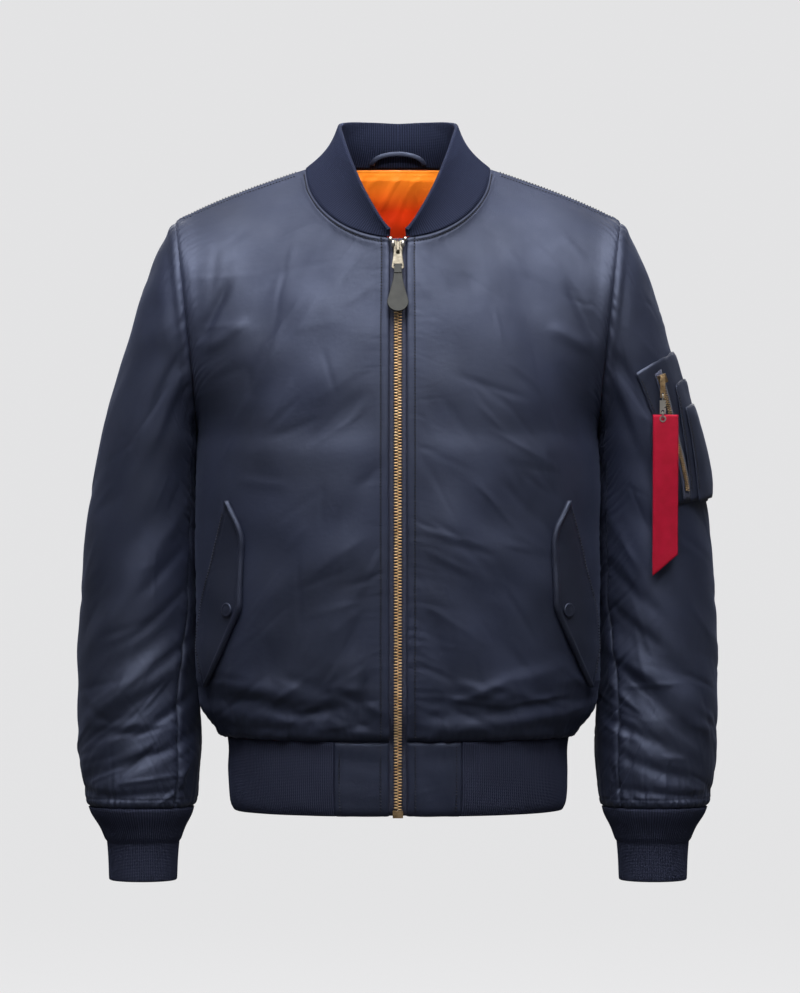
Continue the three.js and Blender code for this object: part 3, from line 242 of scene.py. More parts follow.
def top_edge(facing):
    """The neckline's points and then the shoulder seam's, which bows up a little."""
    first = ZIP_ANGLE if facing < 0 else 180
    neck = neck_point(np.linspace(first, 90, NECK_COLUMNS + 1))
    along = np.linspace(0, 1, COLUMNS - NECK_COLUMNS + 1)[1:]
    out = np.sin(np.radians(60 * along)) / np.sin(np.radians(60))
    shoulder = triple(NECK_HALF + (SHOULDER[0] - NECK_HALF) * out, SHOULDER[1] * along, SHOULDER[2] * along)
    return np.concatenate([neck, shoulder])


def relaxed(grid, passes=6):
    """Moves each upper point that isn't on an edge halfway to the mean of its four neighbours."""
    grid = grid.copy()
    for _ in range(passes):
        mean = (grid[:-2, 1:-1] + grid[2:, 1:-1] + grid[1:-1, :-2] + grid[1:-1, 2:]) / 4
        moved = (grid[1:-1, 1:-1] + mean) / 2
        grid[LOWER_ROWS:-1, 1:-1] = moved[LOWER_ROWS - 1:]
    return grid


def half_panel(facing):
    """Half a front or back, x above 0: level rows to the armpit, then rows that end on the armhole
    and are lifted, by the square of their height, onto the neckline and shoulder."""
    share = np.linspace(0, 1, COLUMNS + 1)[None, :]
    z = np.linspace(HEM_SEAM_Z, ARMPIT_Z, LOWER_ROWS, endpoint=False)[:, None]
    centre, side = level(z, facing)
    lower = row_point(centre, side, 90.0, share, facing)
    top = top_edge(facing)
    up = np.linspace(0, 1, ARMHOLE_ROWS + 1)[:, None]
    centre, _ = level(ARMPIT_Z + (top[0, 2] - ARMPIT_Z) * up, facing)
    centre[-1, 0] = top[0]
    upper = row_point(centre, armhole_point(up, facing), 90 - 30 * up, share, facing)
    upper += (top - upper[-1]) * up[..., None] ** 2
    return np.concatenate([lower, upper])


front_points = relaxed(half_panel(-1))
back_half = half_panel(1)
back_points = relaxed(np.concatenate([back_half[:, ::-1], back_half[:, 1:] * [-1, 1, 1]], axis=1))
print("front", front_points.shape, "back", back_points.shape)

# %% [markdown]
# A cubic between control points is smooth everywhere, but cloth has corners: where the neckline
# meets the shoulder seam, and at the armpit. There the curve is read in two parts that stop at the
# corner, and this sharp version takes over from the smooth one only close to it.

# %% Reading between the control points
def cubic_weights(t):
    """How much each of four neighbouring points counts at t between the middle two (Catmull-Rom)."""
    return np.stack(
        [t * (t * (2 - t) - 1), t * t * (3 * t - 5) + 2, t * (t * (4 - 3 * t) + 1), t * t * (t - 1)],
        axis=-1,
    ) / 2


def along_first(points, at, closed=False):
    """Points read along their first axis at places that need not be whole."""
    count = len(points)
    if closed:
        i = np.floor(at).astype(int)
        index = (i[:, None] + [-1, 0, 1, 2]) % count
        source = points
    else:
        i = np.clip(np.floor(at).astype(int), 0, count - 2)
        index = i[:, None] + [0, 1, 2, 3]
        source = np.concatenate([2 * points[:1] - points[1:2], points, 2 * points[-1:] - points[-2:-1]])
    return np.einsum("nk,nk...->n...", cubic_weights(at - i), source[index])


def along_parts(points, at, corners):
    """The same, but in parts that end at the corners."""
    stops = [0, *corners, len(points) - 1]
    parts = []
    for n, (low, high) in enumerate(zip(stops[:-1], stops[1:])):
        inside = (at >= low) & ((at < high) | (n == len(stops) - 2))
        parts.append(along_first(points[low:high + 1], at[inside] - low))
    return np.concatenate(parts)


def fine_panel(points, row_steps, column_steps, corner_columns, sides):
    """A panel's grid at many steps to each control step. The smooth and the sharp reading are mixed
    by closeness to the top edge for the neck's corners, and to the sides for the armpits."""
    rows, columns = points.shape[0] - 1, points.shape[1] - 1
    across = np.linspace(0, columns, columns * column_steps + 1)
    up = np.linspace(0, rows, rows * row_steps + 1)
    turned = points.transpose(1, 0, 2)
    near_top = np.clip((np.arange(rows + 1) - rows + 3) / 3, 0, 1)[None, :, None] ** 2
    sharp = along_parts(turned, across, corner_columns)
    grid = ((1 - near_top) * along_first(turned, across) + near_top * sharp).transpose(1, 0, 2)
    away = np.min([abs(across - side) for side in sides], axis=0)
    near_side = np.clip(1 - away / 2.5, 0, 1)[None, :, None] ** 2
    return (1 - near_side) * along_first(grid, up) + near_side * along_parts(grid, up, [LOWER_ROWS])


def read(points, row, column, closed=False):
    """Points of a control grid at scattered places, from the sixteen control points round each."""
    rows, columns = points.shape[:2]
    i = np.clip(np.floor(row).astype(int), 0, rows - 2)
    padded = np.concatenate([2 * points[:1] - points[1:2], points, 2 * points[-1:] - points[-2:-1]])
    j = np.floor(column).astype(int)
    if closed:
        index = (j[..., None] + [-1, 0, 1, 2]) % columns
    else:
        j = np.clip(j, 0, columns - 2)
        padded = np.concatenate(
            [2 * padded[:, :1] - padded[:, 1:2], padded, 2 * padded[:, -1:] - padded[:, -2:-1]], axis=1
        )
        index = j[..., None] + [0, 1, 2, 3]
    near = padded[(i[..., None] + [0, 1, 2, 3])[..., :, None], index[..., None, :]]
    return np.einsum("...a,...b,...abk->...k", cubic_weights(row - i), cubic_weights(column - j), near)


FRONT_STEPS, BACK_STEPS = (12, 16), (11, 10)  # rows and columns of the fine grid to one of control
HIDDEN = (4, 4)  # how much coarser the inside of a panel is
front_plain = fine_panel(front_points, *FRONT_STEPS, [NECK_COLUMNS], [COLUMNS])
back_plain = fine_panel(
    back_points, *BACK_STEPS, [COLUMNS - NECK_COLUMNS, COLUMNS + NECK_COLUMNS], [0, 2 * COLUMNS]
)
print("front", front_plain.shape, "back", back_plain.shape)

# %% [markdown]
# ## From a grid to a wall
# A panel is a wall 3 mm thick: an outer grid, an inner grid behind it, and strips that close the
# edges. Solidify could add the thickness, but it would round off where panels meet. Here both
# pieces of a seam use one shared direction at the seam, so their edges lie face to face.

# %% Grid and mesh helpers
def normals(grid, closed=False):
    """The outward direction at each point: the step along a row crossed with the step up a column."""
    if closed:
        along = np.roll(grid, -1, axis=1) - np.roll(grid, 1, axis=1)
    else:
        along = np.gradient(grid, axis=1)
    return unit(np.cross(along, np.gradient(grid, axis=0)))


def lengths(grid, axis):
    """How far each point lies along its row or column from the first one."""
    steps = np.linalg.norm(np.diff(grid, axis=axis), axis=2)
    start = np.zeros_like(np.take(steps, [0], axis=axis))
    return np.concatenate([start, np.cumsum(steps, axis=axis)], axis=axis)


def path_at(want, far, path):
    """A path's points, or anything else in three numbers, read where `far` has the wanted values."""
    return np.stack([np.interp(want, far, path[:, k]) for k in range(3)], axis=-1)


def new_mesh(name, points, quads, looks, uv=None, rear=None):
    """One object from arrays: points in millimetres, four corners to a face, and a map in metres.
    rear holds more faces, which have the last look: their corners in one row, and how many each has."""
    corners, sizes = quads.ravel(), np.full(len(quads), 4)
    if rear:
        corners, sizes = np.concatenate([corners, rear[0]]), np.concatenate([sizes, rear[1]])
    used, corners = np.unique(corners, return_inverse=True)
    points = points[used]
    mesh = bpy.data.meshes.new(name)
    mesh.vertices.add(len(points))
    mesh.vertices.foreach_set("co", (points * MM).astype(np.float32).ravel())
    mesh.loops.add(len(corners))
    mesh.loops.foreach_set("vertex_index", corners.astype(np.int32))
    mesh.polygons.add(len(sizes))
    mesh.polygons.foreach_set("loop_start", (np.cumsum(sizes) - sizes).astype(np.int32))
    mesh.polygons.foreach_set("use_smooth", np.full(len(sizes), True))
    look_of = np.where(np.arange(len(sizes)) < len(quads), 0, len(looks) - 1)
    mesh.polygons.foreach_set("material_index", look_of.astype(np.int32))
    if uv is not None:
        layer = mesh.uv_layers.new(name="cut")
        layer.data.foreach_set("uv", (uv[used][corners] * MM).astype(np.float32).ravel())
    for look in looks:
        mesh.materials.append(look)
    mesh.update(calc_edges=True)
    mesh.validate()
    piece = bpy.data.objects.new(name, mesh)
    bpy.context.collection.objects.link(piece)
    return piece


def grid_quads(rows, columns, closed=False):
    """The faces of a grid, four point numbers each."""
    i = np.arange(rows - 1)[:, None]
    j = np.arange(columns if closed else columns - 1)[None, :]
    k = (j + 1) % columns
    corners = [i * columns + j, i * columns + k, (i + 1) * columns + k, (i + 1) * columns + j]
    return np.stack(corners, axis=-1).reshape(-1, 4)


def coarse_faces(number, step, closed):
    """Faces that cover several cells each way. Walking round a face, its four corners are kept, and
    every point on the grid's own edge too, so that the coarse faces meet the fine rim."""
    if closed:
        number = np.concatenate([number, number[:, :1]], axis=1)
    tall, wide = step
    walk_i = np.concatenate([np.zeros(wide), np.arange(tall), np.full(wide, tall), tall - np.arange(tall)])
    walk_j = np.concatenate([np.arange(wide), np.full(tall, wide), wide - np.arange(wide), np.zeros(tall)])
    corner = np.isin(walk_i, (0, tall)) & np.isin(walk_j, (0, wide))
    i = np.arange(0, number.shape[0] - 1, tall)[:, None, None] + walk_i.astype(int)
    j = np.arange(0, number.shape[1] - 1, wide)[None, :, None] + walk_j.astype(int)
    i, j = np.broadcast_arrays(i, j)
    keep = corner | (i == 0) | (i == number.shape[0] - 1)
    if not closed:
        keep = keep | (j == 0) | (j == number.shape[1] - 1)
    return number[i, j][keep], keep.sum(axis=-1).ravel()


def wall(name, outer, inner, looks, closed=False, flip=False, step=(1, 1), map_step=0):
    """A closed wall between two grids. Its outside and edges have the first look, its inside the last.
    flip makes the mirrored piece, with its faces turned round again, and step makes the inside coarse.
    map_step is how far a column goes on the cut cloth's map, where that isn't its own length."""
    rows, columns = outer.shape[:2]
    size = rows * columns
    number = np.arange(size).reshape(rows, columns)
    rear = [part[::-1] for part in coarse_faces(number + size, step, closed)]
    rims = [number[0], number[-1][::-1]]
    if closed:
        rims = [np.append(rim, rim[0]) for rim in rims]
    else:
        rims += [number[::-1, 0], number[:, -1]]
    edges = [np.stack([r[:-1], r[:-1] + size, r[1:] + size, r[1:]], axis=-1) for r in rims]
    quads = np.concatenate([grid_quads(rows, columns, closed), *edges])
    points = np.concatenate([outer.reshape(-1, 3), inner.reshape(-1, 3)])
    across = lengths(outer, 1)
    across = across - across[:, -1:] / 2
    if map_step:
        across = map_step * np.arange(columns) + 0 * across
    uv = np.stack([across, lengths(outer, 0)], axis=-1).reshape(-1, 2)
    if flip:
        points = points * [-1, 1, 1]
        quads = quads[:, ::-1]
        rear = [part[::-1] for part in rear]
    return new_mesh(name, points, quads, looks, np.concatenate([uv, uv]), rear)


def draw_back(grids, sides):
    """Moves the outermost points back from a seam, towards their neighbours, in both grids."""
    outer = grids[0]
    spots = {
        "low": (np.s_[0], np.s_[1]),
        "high": (np.s_[-1], np.s_[-2]),
        "start": (np.s_[:, 0], np.s_[:, 1]),
        "end": (np.s_[:, -1], np.s_[:, -2]),
    }
    shifts = []
    for side in sides:
        edge, beside = spots[side]
        shifts.append((edge, SEAM_GAP * unit(outer[beside] - outer[edge])))
    for spot, shift in shifts:
        for grid in grids:
            grid[spot] += shift


def hill(distance, width):
    """One at distance nought, falling to nothing over about twice the width (a Gaussian)."""
    return np.exp(-((distance / width) ** 2))


print("a front is", round(float(lengths(front_plain, 0)[-1].max())), "mm long")

# %% [markdown]
# ## Cloth that has been sewn and worn
# Three things shape padded nylon. Long soft folds hang from where the jacket is held. Short puckers
# stand across every seam, because the thread draws the cloth together. And the wadding makes
# everything swell a little between seams. A cloth simulation makes the first kind well on loose
# cloth, but the folds of a sewn jacket come from its seams, so here they are placed: each fold is a
# hill or hollow along a line, and each pucker one that starts at a seam and fades away from it.

# %% Folds and puckers
def fold_depth(folds, across, height):
    """Sum of long hollows and ridges: each a Gaussian across its line, flat along most of it."""
    depth = np.zeros(np.broadcast(across, height).shape)
    for x, z, turn, long, wide, deep in folds:
        c, s = np.cos(np.radians(turn)), np.sin(np.radians(turn))
        along = (across - x) * c + (height - z) * s
        beside = -(across - x) * s + (height - z) * c
        depth += deep * hill(beside, wide) * np.exp(-((along / (0.5 * long)) ** 4))
    return depth


def puckers(seed, along, beside, pitch, reach, wide, deep, slant=0.0, spread=0.6):
    """Short hollows that start at a seam. `along` is the distance along the seam and `beside` the
    distance from it. Each has its own place, width, length and depth, drawn from a seeded list."""
    draw = np.random.default_rng(seed)
    depth = np.zeros(along.shape)
    low, high = along.min(), along.max()
    count = max(1, int((high - low) / pitch))
    for n in range(count):
        place = low + pitch * (n + draw.uniform(-0.45, 0.45) + 0.5)
        width = wide * draw.uniform(0.6, 1.4)
        length = reach * (1 + spread * draw.uniform(-1, 1.3))
        strength = deep * draw.uniform(0.35, 1.3)
        lean = slant + draw.uniform(-0.35, 0.35)
        across = along - place - lean * beside
        fade = np.exp(-beside / length) * (1 - np.exp(-((beside + 0.6) / 1.6) ** 2))
        depth -= strength * fade * (hill(across, width) - 0.6 * hill(across, 2.2 * width))
    return depth


def scattered(seed, count, box, turn, long, wide, deep):
    """A seeded list of small folds in a box (low x, high x, low z, high z), about one direction."""
    draw = np.random.default_rng(seed)
    places = [(draw.uniform(*box[:2]), draw.uniform(*box[2:])) for _ in range(count)]
    return [
        (x, z, turn + draw.normal(0, 22), long * draw.uniform(0.5, 1.5), wide * draw.uniform(0.6, 1.5),
         deep * draw.uniform(0.4, 1.3) * draw.choice([-1, 1]))
        for x, z in places
    ]


def swell(seed, across, height, size, deep, count=26):
    """Gentle unevenness: a sum of sine waves of seeded lengths and directions."""
    draw = np.random.default_rng(seed)
    total = np.zeros(np.broadcast(across, height).shape)
    for _ in range(count):
        turn = draw.uniform(0, np.pi)
        wave = 2 * np.pi / (size * draw.uniform(0.6, 1.8))
        total += np.sin(wave * (across * np.cos(turn) + height * np.sin(turn)) + draw.uniform(0, 6.28))
    return deep * total / np.sqrt(count)


def seam_dip(distance, deep=1.3, wide=2.4, puff=0.9):
    """Cloth turned in at a seam: a groove at the seam and a soft roll beside it."""
    return -deep * hill(distance, wide) + puff * hill(distance - 8, 6)


sample = puckers(1, np.zeros(9), np.linspace(0, 40, 9), 1, 10, 3, 1)
print("a pucker is at most", round(float(-sample.min()), 2))

# %% [markdown]
# ## Finishes
# Flight nylon is a tight satin: it has a broad soft gloss, not a sharp one, and a hint of blue where
# light grazes it. A single glossy colour would look like plastic, so the shader adds the weave,
# which only shows close up, a fine crinkle, and slow changes of colour and gloss.

# %% Material helpers
def linear(r, g, b):
    """A colour that is named as a screen shows it, as the shader wants it."""
    c = np.array([r, g, b]) / 255
    return (*np.where(c <= 0.04045, c / 12.92, ((c + 0.055) / 1.055) ** 2.4), 1.0)


class Look:
    """A material with its main shader, and short ways to add nodes and join them."""

    def __init__(self, name, color, roughness, **values):
        self.made = bpy.data.materials.new(name)
        self.made.use_nodes = True
        self.nodes, self.links = self.made.node_tree.nodes, self.made.node_tree.links
        self.shader = self.nodes["Principled BSDF"]
        self.shader.inputs["Base Color"].default_value = color
        self.shader.inputs["Roughness"].default_value = roughness
        for key, value in values.items():
            self.shader.inputs[key.replace("_", " ")].default_value = value
        self.height = None

    def node(self, kind, inputs=None, **settings):
        """A node with its settings, its inputs given as values or as another node's output."""
        made = self.nodes.new("ShaderNode" + kind)
        for key, value in settings.items():
            setattr(made, key, value)
        for key, value in (inputs or {}).items():
            if isinstance(value, bpy.types.NodeSocket):
                self.links.new(value, made.inputs[key])
            else:
                made.inputs[key].default_value = value
        return made

    def coordinates(self, kind="Object"):
        """Where a point is on the object, or on the cut cloth."""
        if kind == "cut":
            return self.node("UVMap", uv_map="cut").outputs["UV"]
        return self.node("TexCoord").outputs[kind]

    def math(self, operation, a, b=0.0):
        """One sum."""
        return self.node("Math", {0: a, 1: b}, operation=operation).outputs[0]

    def noise(self, scale, detail=3.0, stretch=(1, 1, 1)):
        """Noise, between 0 and 1."""
        placed = self.node("Mapping", {"Vector": self.coordinates(), "Scale": stretch}).outputs["Vector"]
        return self.node("TexNoise", {"Vector": placed, "Scale": scale, "Detail": detail}).outputs["Fac"]

    def vary(self, socket, source, stops):
        """Sets an input from a 0 to 1 source through a ramp of (place, colour or grey)."""
        ramp = self.node("ValToRGB", {"Fac": source})
        for n, (place, value) in enumerate(stops):
            stop = ramp.color_ramp.elements[n] if n < 2 else ramp.color_ramp.elements.new(place)
            stop.position = place
            stop.color = value if hasattr(value, "__len__") else (value, value, value, 1)
        self.links.new(ramp.outputs["Color"], self.shader.inputs[socket])

    def bump(self, source, distance, strength=1.0):
        """Raises the surface by a 0 to 1 source, on top of what is raised already."""
        values = {"Height": source, "Distance": distance * MM, "Strength": strength}
        if self.height is not None:
            values["Normal"] = self.height
        self.height = self.node("Bump", values).outputs["Normal"]
        self.links.new(self.height, self.shader.inputs["Normal"])


def weave(look, pitch, deep, turn=(0, 0, 0.5)):
    """Crossed threads: the product of two sine waves on the cut cloth."""
    placed = look.node("Mapping", {"Vector": look.coordinates("cut"), "Rotation": turn})
    parts = look.node("SeparateXYZ", {"Vector": placed.outputs["Vector"]}).outputs
    waves = [look.math("SINE", look.math("MULTIPLY", part, 2 * np.pi / (pitch * MM))) for part in parts[:2]]
    look.bump(look.math("MULTIPLY_ADD", look.math("MULTIPLY", *waves), 0.5), deep)


def nylon_look(name, low, high, roughness, **values):
    """Satin nylon: two close colours in slow patches, uneven gloss, crinkle, thread and weave."""
    look = Look(name, low, roughness, **values)
    look.vary("Base Color", look.noise(9, 4), [(0.35, low), (0.65, high)])
    look.vary("Roughness", look.noise(26, 4), [(0.3, roughness - 0.07), (0.7, roughness + 0.08)])
    look.bump(look.noise(38, 4, stretch=(1, 1, 0.7)), 0.75, 0.5)
    look.bump(look.noise(210, 3, stretch=(0.8, 1, 1.3)), 0.24, 0.5)
    look.bump(look.noise(620, 2, stretch=(1, 1, 0.25)), 0.07, 0.5)
    weave(look, 0.55, 0.03)
    return look


NAVY_SATIN = {
    "Specular_IOR_Level": 0.72, "Specular_Tint": (0.62, 0.71, 1, 1),
    "Sheen_Weight": 0.06, "Sheen_Roughness": 0.45, "Sheen_Tint": (0.5, 0.6, 1, 1),
}
nylon = nylon_look("navy_nylon", linear(25, 28, 42), linear(32, 36, 54), 0.57, **NAVY_SATIN)
nylon_trim = nylon_look("navy_nylon_trim", linear(20, 22, 33), linear(26, 29, 43), 0.5, **NAVY_SATIN)
lining = nylon_look("orange_lining", linear(250, 104, 10), linear(255, 122, 16), 0.36, Sheen_Weight=0.2,
                    Sheen_Tint=(1, 0.5, 0.1, 1))
# Painted light and shade: the lining's colour is set by height, from a deep red-orange at the foot of the
# neck opening to a bright orange at the neck seam, as light falling in from above makes it.
height = lining.node("SeparateXYZ", {"Vector": lining.coordinates()}).outputs["Z"]
depth = lining.node("MapRange", {"Value": height, "From Min": -0.085, "From Max": 0.0}).outputs["Result"]
LINING_PAINTED_LIGHT_AND_SHADE = [(0, linear(112, 9, 2)), (0.55, linear(214, 50, 7)), (1, linear(255, 140, 36))]
lining.vary("Base Color", depth, LINING_PAINTED_LIGHT_AND_SHADE)
print("nylon has", len(nylon.nodes), "nodes")

# %% [markdown]
# Rib knit is matt and slightly fuzzy, and each rib is a column of small V stitches. The ribs
# themselves are modelled. The rows of stitches on them are relief in the shader, and the grooves get
# a darker colour, because they are too narrow for the light to shade them at this distance. Both are
# spaced by the knitted piece's own map, on which every rib is equally wide.

# %% Knit, tape, metal and leather
RIB_PITCH = 2.0  # from rib to rib on the map of a knitted piece


def knit_look(name, low, high):
    """Matt wool-like yarn: rows of stitches across each rib, and shade between the ribs (the size of
    a half wave's sine, as the ribs themselves have)."""
    look = Look(name, low, 0.85, Sheen_Weight=0.06, Sheen_Roughness=0.5, Sheen_Tint=(0.4, 0.5, 1, 1),
                Specular_IOR_Level=0.3, Specular_Tint=(0.5, 0.6, 1, 1))
    over_ribs, along_rib = look.node("SeparateXYZ", {"Vector": look.coordinates("cut")}).outputs[:2]
    crest = look.math("SINE", look.math("MULTIPLY", over_ribs, np.pi / (RIB_PITCH * MM)))
    look.vary("Base Color", look.math("ABSOLUTE", crest), [(0.3, low), (0.95, high)])
    rows = look.math("SINE", look.math("MULTIPLY", along_rib, 2 * np.pi / (1.5 * MM)))
    look.bump(look.math("MULTIPLY_ADD", rows, 0.5), 0.16, 0.8)
    look.bump(look.noise(900, 3), 0.15, 0.6)
    return look


knit = knit_look("navy_rib_knit", linear(27, 29, 41), linear(50, 53, 70))
# The collar's colours are painted much darker than the same knit's at the hem and cuffs: painted shade, which
# offsets the light from above that falls most on the upward-facing collar.
collar_knit = knit_look("navy_collar_knit_painted_shade", linear(7, 8, 16), linear(29, 33, 51))

# The tape's colour is painted lighter than the shell's navy, which it matches: painted light, so that it
# still reads navy in the shadowed gap beside the teeth.
tape = Look("navy_zip_tape", linear(44, 49, 72), 0.8, Sheen_Weight=0.15)
tape.vary("Base Color", tape.noise(300, 3), [(0.3, linear(38, 43, 64)), (0.7, linear(51, 56, 80))])
weave(tape, 0.9, 0.12, (0, 0, 0.78))

# The thread is real navy thread, but its colour is painted nearly black, darker than the nylon: painted shade
# of the small pits where each stitch sinks into the cloth.
thread = Look("navy_thread_painted_shade", linear(14, 15, 22), 0.7)
thread.vary("Base Color", thread.noise(500, 2), [(0.3, linear(11, 12, 18)), (0.7, linear(19, 21, 30))])
thread.bump(thread.noise(1500, 2), 0.06, 0.7)

brass = Look("worn_brass", linear(190, 158, 118), 0.36, Metallic=1.0)
brass.vary("Base Color", brass.noise(160, 4), [(0.3, linear(158, 128, 92)), (0.7, linear(212, 182, 142))])
brass.vary("Roughness", brass.noise(320, 3), [(0.3, 0.26), (0.7, 0.5)])
brass.bump(brass.noise(900, 2), 0.05, 0.5)

nickel = Look("old_nickel", linear(106, 99, 88), 0.45, Metallic=0.9)
nickel.vary("Base Color", nickel.noise(180, 4), [(0.3, linear(88, 82, 71)), (0.7, linear(122, 116, 104))])
nickel.vary("Roughness", nickel.noise(400, 3), [(0.3, 0.38), (0.7, 0.55)])
nickel.bump(nickel.noise(1100, 2), 0.04, 0.4)

steel = Look("bright_steel", linear(196, 192, 186), 0.3, Metallic=1.0)
steel.vary("Roughness", steel.noise(300, 3), [(0.3, 0.24), (0.7, 0.42)])
steel.bump(steel.noise(1100, 2), 0.03, 0.4)

leather = Look("grey_leather", linear(34, 35, 32), 0.55, Specular_IOR_Level=0.3)
leather.vary("Base Color", leather.noise(120, 4), [(0.3, linear(28, 29, 27)), (0.7, linear(44, 45, 42))])
grain = leather.node("TexVoronoi", {"Vector": leather.coordinates(), "Scale": 900.0}).outputs["Distance"]
leather.bump(grain, 0.12, 0.5)

webbing = Look("crimson_webbing", linear(162, 12, 40), 0.6, Sheen_Weight=0.06, Sheen_Tint=(1, 0.2, 0.3, 1),
               Specular_Tint=(1, 0.3, 0.4, 1))
webbing.vary("Base Color", webbing.noise(90, 4), [(0.3, linear(154, 10, 36)), (0.7, linear(170, 15, 46))])
weave(webbing, 1.0, 0.15, (0, 0, 0.78))
print("looks", [m.name for m in bpy.data.materials][-12:])

# %% [markdown]
# ## The fronts
# Each front runs from the zip to the side seam and the armhole. Its zip edge is folded and stitched
# 9 mm in. The right front is not the left one's mirror image in its wrinkles: both come from one
# function with their own seeds and folds.

# %% Fronts
def neck_normal(angle):
    """The shared direction of the seam round the neckline."""
    turn = np.radians(angle)
    return unit(triple(0.6 * np.sin(turn), -0.9 * np.cos(turn), 0.15 + 0.65 * np.sin(0.6 * turn)))


def armhole_normal(share, facing):
    """The shared direction of the seam round the armhole: down at the armpit, out at the shoulder."""
    angle = np.pi * share
    return unit(triple(0.35 - 0.35 * np.cos(angle), facing * np.sin(angle), -np.cos(angle)))


FRONT_FOLDS = [
    (160, -215, -58, 150, 17, -3), (110, -180, -40, 120, 20, 1.6), (120, -330, -62, 190, 26, -3),
    (62, -420, -75, 180, 22, 4), (95, -470, -55, 150, 20, -4), (150, -548, 8, 130, 11, -4),
    (70, -552, -10, 90, 10, -3),
]
LEFT_FRONT_FOLDS = [
    (186, -150, -63, 60, 6, -3.4), (174, -178, -30, 44, 7, 2.4), (140, -140, -30, 110, 16, -1.2),
    (80, -250, -35, 150, 22, 1.2), (150, -290, -70, 120, 15, 1.5), (60, -330, -50, 130, 16, -1.6),
    (110, -400, -40, 110, 14, 1.6), (45, -500, -72, 110, 10, -1.8), (130, -520, 14, 90, 9, 2.0),
    (100, -565, 6, 120, 6, 2.0), (35, -566, -8, 50, 6, 1.4), (60, -130, 40, 90, 18, -0.7),
]
RIGHT_FRONT_FOLDS = [
    (186, -150, -63, 60, 6, -3.6), (174, -176, -34, 48, 7, 2.6), (136, -128, -34, 120, 17, -1.2),
    (90, -235, -45, 140, 20, 1.1), (156, -300, -66, 110, 15, 1.4), (52, -360, -58, 140, 15, -1.8),
    (118, -430, -36, 120, 15, 1.6), (40, -470, -78, 90, 9, -1.4), (36, -545, -80, 60, 5, -2.2),
    (122, -535, 10, 100, 9, 2.2), (84, -566, 4, 110, 6, 2.0), (50, -140, 36, 100, 18, -0.7),
]


THIN = 2.2  # the wall where a pucker draws both faces together


def front_relief(seed, extra):
    """How far the front's outer and inner faces stand out from its plain shape. The inner face
    follows the folds, and the puckers only where they go inwards."""
    grid = front_plain
    x, z = grid[..., 0], grid[..., 2]
    across, up = lengths(grid, 1), lengths(grid, 0)
    to_zip, to_side = across, across[:, -1:] - across
    to_hem, to_top = up, up[-1:] - up
    rows = np.linspace(0, TOP_ROW, grid.shape[0])[:, None]
    columns = np.linspace(0, COLUMNS, grid.shape[1])[None, :]
    fade = np.clip(np.minimum.reduce([rows / 1.5 + 0 * columns, (TOP_ROW - rows) / 3 + 0 * columns,
                                      columns / 1.5 + 0 * rows, (COLUMNS - columns) / 2 + 0 * rows]), 0, 1)
    folds = fade * fold_depth(FRONT_FOLDS, x, z)
    folds += np.clip(fade * 3, 0, 1) * (fold_depth(extra, x, z) + swell(seed, x, z, 85, 0.8))
    creases = scattered(seed + 6, 90, (15, 205, -580, -60), -48, 52, 3.6, 0.5)
    creases += scattered(seed + 7, 34, (15, 205, -584, -520), 4, 50, 4.0, 1.0)
    relief = folds + np.clip(fade * 3, 0, 1) * fold_depth(creases, x, z)
    relief += seam_dip(to_side) + seam_dip(to_top, 1.3, 2.0, 0.3)
    relief += -1.1 * hill(to_zip, 1.3) - 0.35 * hill(to_zip - 9, 1.6) + 0.4 * hill(to_zip - 4.5, 3)
    low = np.clip((-z - 300) / 300, 0, 1)
    relief += (0.3 + 0.7 * low) * puckers(seed + 1, up, np.abs(to_zip - 7), 8, 12, 2.2, 0.9, -0.15)
    relief += low * puckers(seed + 8, up, np.abs(to_zip - 8), 26, 34, 4.5, 0.9, -0.3)
    roll = 0.75 + 0.35 * np.sin(across / 11) * np.sin(across / 27 + seed)
    relief += seam_dip(to_hem, 2.2, 2.6, 0) + 3.0 * roll * hill(to_hem - 9, 7)
    gathers = puckers(seed + 2, across, to_hem, 8, 14, 2.8, 1.6)
    relief += gathers + puckers(seed + 9, across, to_hem, 30, 30, 8, 3.2)
    body = np.clip(LOWER_ROWS + 1 - rows, 0, 1)
    relief += body * puckers(seed + 3, up, to_side, 10, 15, 3.2, 1.4)
    relief += (1 - body) * puckers(seed + 4, up, to_side, 7.5, 9, 2.3, 2.1, 0.2)
    relief += 0.8 * hill(to_top - 3.4, 2.2) - 0.9 * hill(to_top - 6.4, 1.5)
    relief += puckers(seed + 5, across, abs(to_top - 6), 5.5, 4, 1.7, 0.8)
    return relief, np.minimum(relief, folds) - THIN


def front_wall(name, seed, extra, flip):
    """The wall of one front, with shared seam directions at the armhole and the neckline."""
    grid = front_plain
    straight = normals(grid)
    relief, under = front_relief(seed, extra)
    outer = grid + straight * relief[..., None]
    inward = straight.copy()
    row = np.linspace(0, TOP_ROW, grid.shape[0])
    column = np.linspace(0, COLUMNS, grid.shape[1])
    share = np.clip((row - LOWER_ROWS) / ARMHOLE_ROWS, 0, 1)
    across, up = lengths(grid, 1), lengths(grid, 0)
    near_arm = (row >= LOWER_ROWS)[:, None] * hill(across[:, -1:] - across, 7)
    inward = unit(inward + (armhole_normal(share, -1)[:, None] - inward) * near_arm[..., None])
    near_neck = (column <= NECK_COLUMNS)[None, :] * hill(up[-1:] - up, 7)
    angle = ZIP_ANGLE + (90 - ZIP_ANGLE) * np.clip(column / NECK_COLUMNS, 0, 1)
    inward = unit(inward + (neck_normal(angle)[None] - inward) * near_neck[..., None])
    grids = [outer, grid + inward * under[..., None]]
    draw_back(grids, ["low", "high", "end"])
    return wall(name, *grids, [nylon.made, lining.made], flip=flip, step=HIDDEN), outer


front_left, left_outer = front_wall("front_left_cloth", 11, LEFT_FRONT_FOLDS, False)
front_right, right_outer = front_wall("front_right_cloth", 31, RIGHT_FRONT_FOLDS, True)
print("front faces", len(front_left.data.polygons))

# %% [markdown]
# ## The back
# The back is one piece. It hangs from the shoulders, so its folds fall from the shoulder blades
# towards the waist, and it blouses over the hem rib.

